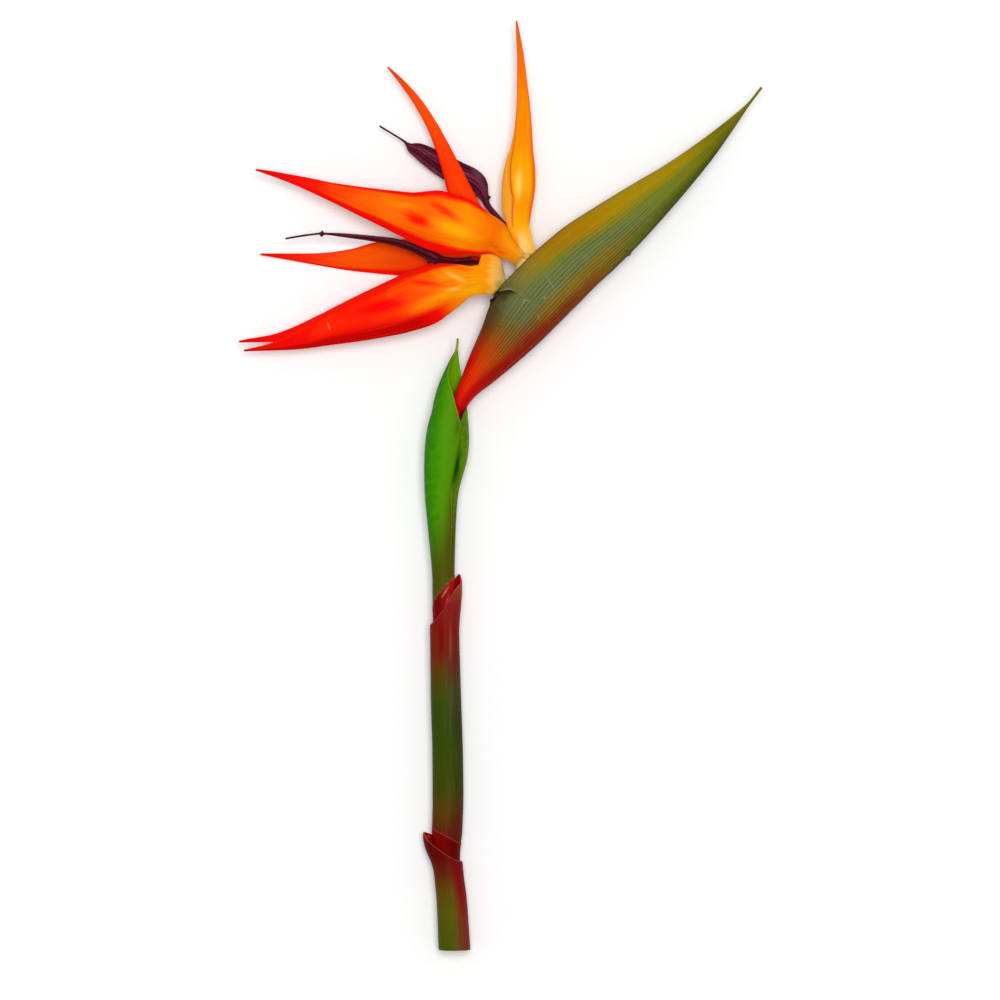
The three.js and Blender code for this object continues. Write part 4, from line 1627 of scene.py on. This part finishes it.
@dataclass(frozen=True)
class UpperFlower(Assembly):
    """The flower that stands highest in the spathe's mouth."""

    neck: Neck = Neck(
        Part("pale_neck_of_the_upper_flower", "upper_neck", "neck"),
        NeckFinish("upper neck", UPPER_FOOT_WITH_SHADE),
        (
            (-13.5, 37.8, 8.6, 1.05), (-7.9, 45.2, 8.3, 1.5), (6.5, 65.2, 9, 2.5),
            (10.5, 78, 9.8, 3), (9.4, 88, 10, 3.5), (8.8, 92.3, 10, 3.7),
        ),
    )
    upright: Petal = Petal(
        part=Part("petal_that_stands_upright", "upper_sepal_upright", "sepal"),
        finish=PetalFinish(
            name="upright petal",
            stops=(
                (0, 244, 210, 136), (0.06, 252, 194, 76), (0.14, 254, 172, 8), (0.25, 253, 151, 2),
                (0.34, 253, 172, 16), (0.42, 254, 166, 2), (0.53, 253, 146, 2), (0.66, 250, 144, 2),
                (0.76, 251, 116, 4), (0.88, 248, 108, 10), (1, 236, 106, 34),
            ),
            upper=Margin((250, 108, 3), 0.36, 0.12, soft=0.85),
            lower=Margin((250, 110, 10), 0.18, 0.1),
            patches=(
                # The first patch is a painted highlight down the middle of the blade.
                (7.4, 120.4, 8.4, 2.5, 88, 255, 208, 88, 0.95), *UPPER_FOOT_WITH_SHADE,
                (4, 108.8, 6.5, 2.2, 90, 246, 180, 112, 0.9),
                (9.8, 146, 16, 1, 86, 253, 120, 3, 0.6),
            ),
            crease=(232, 92, 4),
            flange=(250, 172, 52),
        ),
        rows=(
            (9.6, 90.2, 10.2, 8.2, 0.04), (7.8, 99.6, 10.6, 9.4, 0.06),
            (6.8, 104.8, 11.2, 10.4, 0.12), (6.8, 112, 11.8, 12.4, 0.18),
            (7.4, 119.6, 12.2, 13.4, 0.2), (8, 127.6, 12.2, 12.2, 0.2), (8.7, 134.8, 12, 9.2, 0.18),
            (9.3, 142.8, 11.6, 7, 0.16), (9.3, 152.4, 11, 5.4, 0.12), (8.8, 162, 10.4, 4, 0.1),
            (8.2, 171.6, 9.8, 2.8, 0.08), (7.4, 179, 9.2, 1.9, 0.05), (6.6, 186, 8.6, 0.7, 0),
        ),
        thickness=1.3,
        rib=0.3,
        folds=(Fold((0.26, 0.05), (0.46, 0), 0.6, 0.3), Fold((0.48, 0.1), (0.8, 0.1), 0.25, 0.3)),
        crease=Crease(
            (
                (0.12, -0.38), (0.168, -0.34), (0.28, -0.24), (0.312, -0.4), (0.41, -0.61),
                (0.557, -0.78), (0.65, -1),
            ),
            0.8,
        ),
        upper=((0, 1.6), (0.06, 0.4), (0.12, 0)),
        lower=((0.08, 0), (0.12, -1), (0.17, -0.9), (0.22, 0)),
    )
    front: Petal = Petal(
        part=Part("broad_petal_of_the_upper_flower", "upper_sepal_front", "sepal"),
        finish=PetalFinish(
            name="front petal",
            stops=(
                (0, 214, 160, 70), (0.03, 232, 158, 44), (0.06, 244, 142, 10), (0.1, 249, 122, 3),
                (0.16, 250, 114, 3), (0.22, 253, 124, 1), (0.3, 254, 142, 1), (0.38, 254, 126, 2),
                (0.46, 253, 104, 2), (0.54, 253, 100, 2), (0.6, 253, 112, 2), (0.68, 253, 92, 2),
                (0.78, 253, 64, 2), (0.85, 251, 28, 3), (0.91, 247, 5, 4), (1, 240, 10, 4),
            ),
            upper=Margin(RED, 0.3, 0.16),
            lower=Margin(RED, 0.2, 0.05, 0.42, 1.0),
            patches=(
                (-17.4, 101.6, 15, 4.2, -22, 254, 172, 1, 0.9),
                (-38.6, 111.6, 10, 2.8, -9, 254, 134, 1, 0.8),
                (-22.6, 109.8, 10.6, 2.6, -33, 254, 52, 2, 0.95, 0.15),
                (-32.8, 105.8, 8.6, 3.3, -24, 250, 14, 3, 1, 0.15),
                (-34.6, 108.4, 5, 1.6, -40, 252, 66, 3, 0.6),
                (-1.8, 95.2, 2.6, 1.1, -20, 206, 80, 8, 0.6), *UPPER_FOOT_WITH_SHADE,
                (0.2, 93.2, 4, 1, -18, 214, 84, 5, 0.8),
            ),
        ),
        rows=(
            (11.4, 89.5, 12.4, 8.4, 0.2), (-0.2, 98, 15.4, 14.4, 0.14),
            (-7.8, 100.9, 18.4, 18.4, 0.14), (-16.6, 103.6, 20, 23.2, 0.18),
            (-26.6, 105.8, 20.6, 23.6, 0.2), (-38.2, 108.6, 19.6, 18.4, 0.2),
            (-51.8, 112.6, 17.4, 12.6, 0.18), (-65.8, 117, 14.8, 7.6, 0.14),
            (-79.8, 121.4, 12.2, 3.8, 0.1), (-97.8, 126.4, 9.6, 0.7, 0),
        ),
        thickness=1.6,
        rib=0.3,
        folds=(
            Fold((0.12, -0.2), (0.55, -0.5), 0.8, 0.22), Fold((0.3, 0.3), (0.6, -0.05), -1.0, 0.16),
            Fold((0.38, 0.55), (0.75, 0.35), 0.6, 0.2), Fold((0.25, 1), (0.62, 1), 0.7, 0.12),
        ),
        upper=(
            (0, -3.4), (0.06, -2.6), (0.12, -0.6), (0.2, 0), (0.3, 0.1), (0.38, 0), (0.44, 0.45),
            (0.49, 0.1), (0.545, -0.5), (0.6, -0.2), (0.67, 0), (0.8, 0), (0.88, 0.35), (0.96, 0.3),
            (1, 0),
        ),
        lower=(
            (0, -0.4), (0.05, -0.8), (0.1, -0.7), (0.15, 0), (0.6, 0), (0.7, 0.35), (0.85, 0.35),
            (0.95, 0),
        ),
        sink=((0, 0.9), (0.05, 2), (0.085, 2), (0.13, 0.6), (0.18, 0)),
    )
    rear: Petal = Petal(
        part=Part("narrow_petal_behind", "upper_sepal_rear", "sepal"),
        finish=PetalFinish(
            name="rear petal",
            stops=(
                (0, 254, 106, 2), (0.2, 254, 70, 2), (0.5, 252, 56, 2), (0.7, 253, 80, 2),
                (0.86, 248, 74, 8), (1, 236, 60, 26),
            ),
            upper=Margin((248, 44, 4), 0.2, 0.15),
            lower=Margin((248, 24, 4), 0.3, 0.15),
        ),
        rows=(
            (7.4, 92.8, 5.6, 6, 0.04), (-1, 98.4, 5.6, 8.8, 0.06), (-8.2, 105.4, 7.4, 10.4, 0.1),
            (-14.6, 116, 9.4, 11.2, 0.15), (-19, 126, 9.6, 8.2, 0.15), (-23, 135.2, 9.2, 5.8, 0.14),
            (-27.4, 144.4, 8.8, 4.4, 0.12), (-33, 153.6, 8.4, 3.4, 0.1), (-39, 161.2, 8, 2.2, 0.06),
            (-45, 167.6, 7.6, 0.7, 0),
        ),
        thickness=1.4,
        rib=0.25,
        upper=((0, 0), (0.1, -0.6), (0.22, -1.4), (0.33, -1.3), (0.45, -0.4), (0.55, 0)),
    )
    arrow: Arrow = Arrow(
        part=Part("arrow_of_the_upper_flower", "upper_arrow", "arrow"),
        finish=ArrowFinish(
            name="upper arrow",
            style_from=0.88,
            deep=(56, 2, 20),
            middle=(100, 22, 48),
            pale=(160, 92, 114),
            patches=(
                # Painted highlights on the right of the head.
                (-9, 124.8, 7, 2.2, -56, 132, 72, 88, 0.6),
                (-5.8, 118.8, 4.4, 1.4, -66, 132, 70, 86, 0.5),
            ),
        ),
        rows=(
            (8, 92.9, 7.8, 1.6, 1.5), (6, 97.8, 7.8, 1.6, 1.5), (2.4, 103.6, 7.6, 1.8, 1.7),
            (-1.3, 107.7, 6.6, 2.4, 2), (-5, 112.2, 5.4, 2.6, 2.2), (-6.6, 116, 4.8, 4.4, 2.8),
            (-8.8, 119.6, 4.4, 8.8, 4), (-11.8, 122.2, 4.3, 10.4, 4.6),
            (-17, 124.9, 4.2, 10.2, 4.6), (-22.9, 128.1, 4.2, 9.8, 4.4), (-27.7, 131, 4.3, 8.6, 4),
            (-32.2, 133.8, 4.4, 6.9, 3.4), (-35.4, 135.3, 4.4, 4.6, 2.8),
            (-37.1, 136.7, 4.5, 1.9, 1.6), (-39.5, 138.7, 4.6, 0.9, 0.9),
            (-48.3, 144.1, 5, 0.8, 0.8),
        ),
        barbs=(Barb(0.312, 0, 1.0),),
    )


@dataclass(frozen=True)
class LowerFlower(Assembly):
    """The flower below the upper one."""

    neck: Neck = Neck(
        Part("pale_neck_of_the_lower_flower", "lower_neck", "neck"),
        NeckFinish(
            "lower neck",
            ((0.2, 80.8, 3, 4, 0, 170, 164, 84, 0.8), (-2, 76, 3, 1.6, 60, 70, 54, 24, 0.9, 0.3)),
        ),
        (
            (-13.6, 37.7, 11.4, 1.05), (-8.7, 45.8, 11.7, 1.5), (-3, 62, 11, 2.3),
            (1.4, 74, 10.2, 2.8), (0.6, 79.6, 10, 2.9), (-2.8, 83.2, 10, 3.3),
        ),
    )
    front: Petal = Petal(
        part=Part("broad_petal_of_the_lower_flower", "lower_sepal_front", "sepal"),
        finish=PetalFinish(
            name="low front petal",
            stops=(
                (0, 190, 166, 90), (0.03, 230, 182, 92), (0.06, 250, 180, 64), (0.1, 249, 148, 10),
                (0.16, 250, 158, 4), (0.22, 250, 150, 8), (0.3, 253, 122, 4), (0.38, 253, 96, 3),
                (0.45, 253, 76, 2), (0.51, 253, 44, 2), (0.58, 252, 28, 2), (0.66, 252, 30, 2),
                (0.72, 252, 36, 4), (0.79, 244, 8, 3), (0.9, 240, 4, 3), (1, 236, 26, 8),
            ),
            upper=Margin((248, 22, 3), 0.13, 0.17, 0.4, 0.9),
            lower=Margin(RED, 0.38, 0.3, 0.62, 0.9),
            # The flank darkens the red lower margin to deep red: painted shade where the blade
            # turns away downward.
            flank=Margin(DEEP_RED, 0.3, 0.38, 0.42, 1.0),
            patches=(
                (-11.8, 78, 8, 3, 18, 252, 172, 6, 0.7),
                (-27.8, 72.8, 15, 4.6, 28, 254, 134, 2, 0.95),
                (-20.2, 76, 9, 2.2, 14, 254, 164, 2, 0.9),
                (-23.4, 83.6, 6, 2, -10, 254, 154, 2, 0.85),
                (-15, 86.4, 7.4, 1.5, -4, 252, 92, 3, 0.85),
                (-30.2, 80.8, 12, 2.1, -8, 248, 40, 3, 0.95),
                # The next two patches are painted highlights along ridges of the blade.
                (-17.8, 83.2, 7, 1.6, -25, 255, 194, 76, 0.85),
                (-18.6, 78.2, 6.4, 1.4, 4, 253, 182, 60, 0.85),
                (-47, 71.4, 14, 3.6, 13, 250, 0, 1, 1, 0.25),
                (-68.4, 63.6, 0.6, 2.6, 18, 255, 116, 46, 0.7),
                (-0.2, 80, 3, 3.2, 0, 158, 142, 64, 0.85),
                # Painted shade on the foot where it goes into the spathe.
                (-0.2, 78.4, 4.6, 1.4, 52, 146, 122, 44, 0.8),
                (-2, 76, 3, 1.6, 60, 70, 54, 24, 0.9, 0.3),
            ),
        ),
        rows=(
            (1.6, 80.6, 13.4, 10, 0.25), (-6.6, 82.4, 15.4, 12.4, 0.06),
            (-13, 82, 16.4, 13.6, 0.12), (-20.6, 79.6, 17.2, 19, 0.18),
            (-29.4, 76.2, 17.6, 22.8, 0.2), (-42.2, 71.6, 16.6, 20.8, 0.2),
            (-56.6, 66.8, 14.6, 17.2, 0.18), (-68.6, 62.8, 12.6, 13.2, 0.16),
            (-80.2, 58.4, 10.8, 8, 0.12), (-91, 55.6, 9.2, 3.2, 0.08), (-102.6, 54, 7.6, 0.7, 0),
        ),
        thickness=1.6,
        rib=0.3,
        folds=(
            Fold((0.1, 0.2), (0.38, 0.45), 0.7, 0.16), Fold((0.12, -0.2), (0.42, -0.3), 0.6, 0.18),
            Fold((0.12, 0), (0.5, 0.1), -0.8, 0.14), Fold((0.4, -0.95), (0.88, -0.9), -1.0, 0.42),
        ),
        upper=(
            (0, -0.8), (0.015, 1.4), (0.03, 4.4), (0.05, 4.9), (0.112, 3.9), (0.125, -0.8),
            (0.17, -1.3), (0.215, -0.4), (0.26, 0),
        ),
        lower=((0.36, 0), (0.42, 0.7), (0.5, 1.1), (0.56, 0.9), (0.66, 0.5), (0.75, 0.2), (0.8, 0)),
        sink=((0, 0.6), (0.03, 2), (0.112, 2), (0.14, 0.6), (0.2, 0)),
    )
    middle: Petal = Petal(
        part=Part("petal_under_the_broad_one", "lower_sepal_middle", "sepal"),
        finish=PetalFinish(
            name="low middle petal",
            stops=(
                (0, 252, 180, 40), (0.25, 253, 110, 5), (0.5, 250, 40, 3), (0.75, 242, 8, 3),
                (1, 238, 10, 6),
            ),
            upper=Margin(RED, 0.24, 0.1),
            lower=Margin(RED, 0.24, 0.1),
        ),
        rows=(
            (-5.4, 81.2, 10, 3.2, 0.02), (-13, 81.4, 11.6, 9, 0.08),
            (-20.6, 79.2, 13.2, 14.6, 0.16), (-29.4, 76.2, 14, 18.4, 0.2),
            (-42.2, 72, 13.4, 17, 0.2), (-56.6, 67.4, 11.8, 13.6, 0.18),
            (-68.8, 63.8, 10, 10.4, 0.14), (-79.8, 60.6, 8.6, 6.4, 0.1),
            (-90, 58.8, 7.8, 2.8, 0.06), (-104.6, 57.6, 7, 0.7, 0),
        ),
        thickness=1.3,
        rib=0.2,
        upper=((0, 0), (0.55, 0), (0.7, 0.6), (0.84, 0.7), (0.97, 0.3), (1, 0)),
    )
    rear: Petal = Petal(
        part=Part("petal_behind_the_lower_arrow", "lower_sepal_rear", "sepal"),
        finish=PetalFinish(
            name="low rear petal",
            stops=(
                (0, 250, 180, 70), (0.1, 250, 140, 20), (0.19, 255, 60, 3), (0.28, 255, 58, 2),
                (0.36, 244, 66, 2), (0.46, 240, 78, 2), (0.56, 250, 86, 3), (0.66, 251, 80, 4),
                (0.76, 254, 54, 3), (0.86, 248, 30, 4), (1, 240, 10, 6),
            ),
            upper=Margin((246, 50, 4), 0.22, 0.3),
            lower=Margin(RED, 0.44, 0.15),
        ),
        rows=(
            (-1.8, 83.4, 5.7, 8, 0.03), (-11.8, 88.6, 4.6, 12, 0.08), (-23.8, 90.8, 4, 14.4, 0.1),
            (-35.8, 91.6, 3.3, 14.8, 0.12), (-47.8, 91.5, 2.5, 13.2, 0.12),
            (-59.8, 90.6, 1.4, 8.8, 0.12), (-71.8, 90.8, 1, 5.2, 0.1),
            (-83.8, 91.8, 1.3, 2.8, 0.06), (-96.2, 92.8, 2.2, 0.7, 0),
        ),
        thickness=1.2,
        rib=0.2,
    )
    arrow: Arrow = Arrow(
        part=Part("arrow_of_the_lower_flower", "lower_arrow", "arrow"),
        finish=ArrowFinish(
            name="lower arrow",
            style_from=0.76,
            deep=(42, 0, 8),
            middle=(88, 6, 26),
            pale=(150, 66, 92),
            patches=(
                (-9.4, 91.3, 2.8, 1.6, -8, 206, 8, 5, 1, 0.5),
                # Painted highlights: a pale streak along the head, and one by the barb.
                (-59, 100, 9, 0.9, -3, 122, 58, 84, 0.5),
                (-26.6, 91.6, 3.4, 0.5, -35, 158, 70, 100, 0.5),
            ),
        ),
        rows=(
            (-3.2, 83.7, 10, 1.6, 1.6), (-8.4, 89.5, 10, 3.7, 2.8), (-15.8, 89.6, 10, 3, 3),
            (-21.8, 90.2, 10, 2.6, 3), (-27, 91.4, 10, 4.4, 8), (-33.4, 94.4, 10, 3.8, 9),
            (-41.8, 97.2, 10, 3.2, 7.6), (-51.4, 98.8, 10, 2.4, 5.4), (-61.8, 100, 9.8, 1.8, 3),
            (-68.2, 100.6, 9.6, 1.1, 1.2), (-70.2, 100.7, 9.5, 1.1, 1.2),
            (-71.3, 100.75, 9.4, 2.8, 2.3), (-72.4, 100.75, 9.3, 1, 1.1), (-78.6, 100, 9, 0.9, 0.9),
            (-85.8, 98.8, 8.6, 0.8, 0.8),
        ),
        barbs=(Barb(0.293, 180, 1.2), Barb(0.265, 190, 0.8)),
    )


SPATHE = Spathe(
    part=Part("boat-shaped_spathe", "spathe", "spathe"),
    finish=SpatheFinish(
        name="spathe",
        length=179,
        keel=(
            (0, 186, 4, 3), (0.05, 190, 10, 3), (0.12, 162, 8, 4), (0.22, 140, 22, 5),
            (0.34, 124, 46, 5), (0.42, 140, 66, 4), (0.48, 122, 94, 4), (0.56, 96, 100, 14),
            (0.66, 74, 84, 16), (0.82, 70, 78, 10), (1, 126, 112, 20),
        ),
        flank=(
            (0, 205, 12, 4), (0.04, 226, 30, 4), (0.09, 226, 48, 5), (0.13, 200, 62, 5),
            (0.17, 166, 74, 8), (0.21, 120, 88, 34), (0.25, 100, 106, 62), (0.34, 104, 116, 66),
            (0.54, 100, 116, 60), (0.66, 112, 122, 38), (0.76, 116, 120, 18), (0.86, 108, 104, 6),
            (1, 150, 130, 20),
        ),
        margin=(
            (0, 200, 10, 4), (0.05, 228, 30, 6), (0.11, 200, 16, 4), (0.15, 164, 44, 8),
            (0.19, 100, 60, 24), (0.24, 78, 72, 38), (0.28, 98, 98, 58), (0.32, 128, 116, 48),
            (0.39, 156, 122, 16), (0.47, 172, 122, 3), (0.6, 166, 136, 3), (0.76, 158, 134, 3),
            (0.88, 112, 106, 5), (1, 150, 128, 16),
        ),
        patches=(
            # Painted shade beside the fold at the mouth's corner.
            (1.7, 75, 3.2, 2.6, 30, 60, 54, 30, 0.75),
            (-2.2, 75.6, 7, 1.3, 66, 44, 28, 12, 0.95, 0.3),
            (-14.6, 29.6, 3, 1.8, 70, 136, 2, 2, 0.7), (3, 78.6, 1.8, 0.45, 0, 158, 148, 100, 0.8),
            (17.8, 74.7, 0.9, 0.5, 48, 196, 146, 26, 0.95),
            (9.4, 73.2, 1.8, 0.5, 60, 164, 150, 118, 0.8),
            (10.9, 73.6, 1.4, 0.4, 10, 158, 146, 112, 0.7),
            (15.3, 67.3, 1.6, 0.3, 100, 168, 150, 110, 0.7),
            (20.2, 80.6, 7, 0.3, -58, 142, 150, 112, 0.6),
            (15.7, 79.2, 0.8, 0.3, 40, 34, 40, 22, 0.9),
            (-0.5, 63.5, 0.9, 0.3, -10, 50, 30, 14, 0.9),
            (50.6, 93.4, 1.2, 0.7, 30, 50, 46, 12, 0.8), (79, 132.5, 3, 0.3, 30, 150, 148, 60, 0.5),
        ),
    ),
    outline=(
        (-5, 4.4, -2.8, 3.9, 0.3), (1, 6.2, 0.2, 4, 0.3), (8, 9, 1.9, 4.2, 0.25),
        (20, 13.8, -0.1, 6, 0.2), (32, 17.9, -1.8, 8.2, 0.2), (43, 22.3, -3, 9.5, 1.2),
        (50, 23.6, -3.4, 10, 3.7), (58, 23.3, -3.8, 10.1, 4.2), (66, 23, -4.2, 10.1, 3.9),
        (76, 22, -4.6, 9.9, 1.5), (86, 20.4, -5.5, 9.3, 0.3), (100, 16.6, -6.2, 8.3, 0.2),
        (115, 12.2, -6.2, 6.9, 0.2), (130, 7.5, -5.8, 5.3, 0.2), (145, 3.9, -4.9, 3.8, 0.2),
        (158, 1.4, -3.3, 2.5, 0.2), (170, -0.2, -1.6, 1.3, 0.2), (179, 0.3, -0.8, 0.8, 0.2),
    ),
    fair=(
        (-5, 4.4), (1, 6.2), (8, 9), (20, 13.4), (32, 17), (43, 20), (52, 21.8), (62, 22.8),
        (76, 22), (86, 20.4), (100, 16.6), (115, 12.2), (130, 7.5), (145, 3.9), (158, 1.4),
        (170, -0.2), (179, 0.3),
    ),
    fold=(
        (-2.2, 77), (-0.2, 77.6), (1.8, 77.9), (3.8, 78.1), (6.2, 77.4), (8.6, 75.6), (11, 73.2),
        (13.4, 70.4), (16.2, 66.4),
    ),
    spacing=((-5, 0), (40, 70), (56, 130), (90, 175), (98, 195), (179, 262)),
    nicks=((60, 0.58, 0.9), (37.5, 0.7, 0.8), (51.3, 0.59, 1.1)),
)


# The studio


@dataclass(frozen=True)
class Studio:
    """A pale table under soft light, seen from straight above."""

    camera_place: tuple[float, float, float] = (0.0, -0.0058, 2.4)
    focal: float = 215.1
    sky: float = 0.43
    lamp_power: float = 49.0
    lamp_size: float = 1.4
    lamp_place: tuple[float, float, float] = (0.16, 0.26, 2.7)
    table_reach: float = 1.5

    def build(self) -> None:
        """Builds the floor, the lights and the camera."""
        bpy.context.scene.view_settings.view_transform = "Standard"
        self.build_floor()
        self.build_light()
        self.build_camera()

    @staticmethod
    def placed(name: str, thing: bpy.types.ID) -> bpy.types.Object:
        """Puts a mesh, lamp or camera into the scene.

        Args:
            name: The object's name.
            thing: What it holds.

        Returns:
            The object.
        """
        made = bpy.data.objects.new(name, thing)
        bpy.context.scene.collection.objects.link(made)
        return made

    def build_floor(self) -> None:
        """Builds the table."""
        mesh = bpy.data.meshes.new("table")
        far = self.table_reach
        corners = [(-far, -far, 0), (far, -far, 0), (far, far, 0), (-far, far, 0)]
        mesh.from_pydata(corners, [], [(0, 1, 2, 3)])
        shader = Shader("table")
        grain = shader.speckle(300.0, 3.0) - 0.5
        colour = shader.mix(grain + 0.5, (253, 253, 253), (255, 255, 255))
        mesh.materials.append(shader.finish(colour, Gloss(0.9, 0.05, 0.0), grain, grain, 0.02))
        floor = self.placed("table", mesh)

    def build_light(self) -> None:
        """Builds the soft sky and one wide lamp over the upper right."""
        world = bpy.data.worlds.new("soft sky")
        world.use_nodes = True
        sky = world.node_tree.nodes["Background"]
        sky.inputs["Color"].default_value = (1.0, 1.0, 1.0, 1.0)
        sky.inputs["Strength"].default_value = self.sky
        bpy.context.scene.world = world
        lamp = bpy.data.lights.new("wide lamp", "AREA")
        lamp.energy = self.lamp_power
        lamp.size = self.lamp_size
        holder = self.placed("wide lamp", lamp)
        holder.location = self.lamp_place
        x, y, z = self.lamp_place
        holder.rotation_euler = (-math.atan2(y, z), math.atan2(x, math.hypot(y, z)), 0.0)

    def build_camera(self) -> None:
        """Builds the camera, which looks straight down with +Y up."""
        camera = bpy.data.cameras.new("camera")
        camera.lens = self.focal
        camera.sensor_width = 36.0
        holder = self.placed("camera", camera)
        holder.location = self.camera_place
        bpy.context.scene.camera = holder


def main() -> None:
    """Builds the flower and its studio."""
    logging.basicConfig(level=logging.INFO, format="%(name)s: %(message)s")
    for assembly in (Stem(), UpperFlower(), LowerFlower(), SPATHE, Studio()):
        assembly.build()


if __name__ == "__main__":
    main()
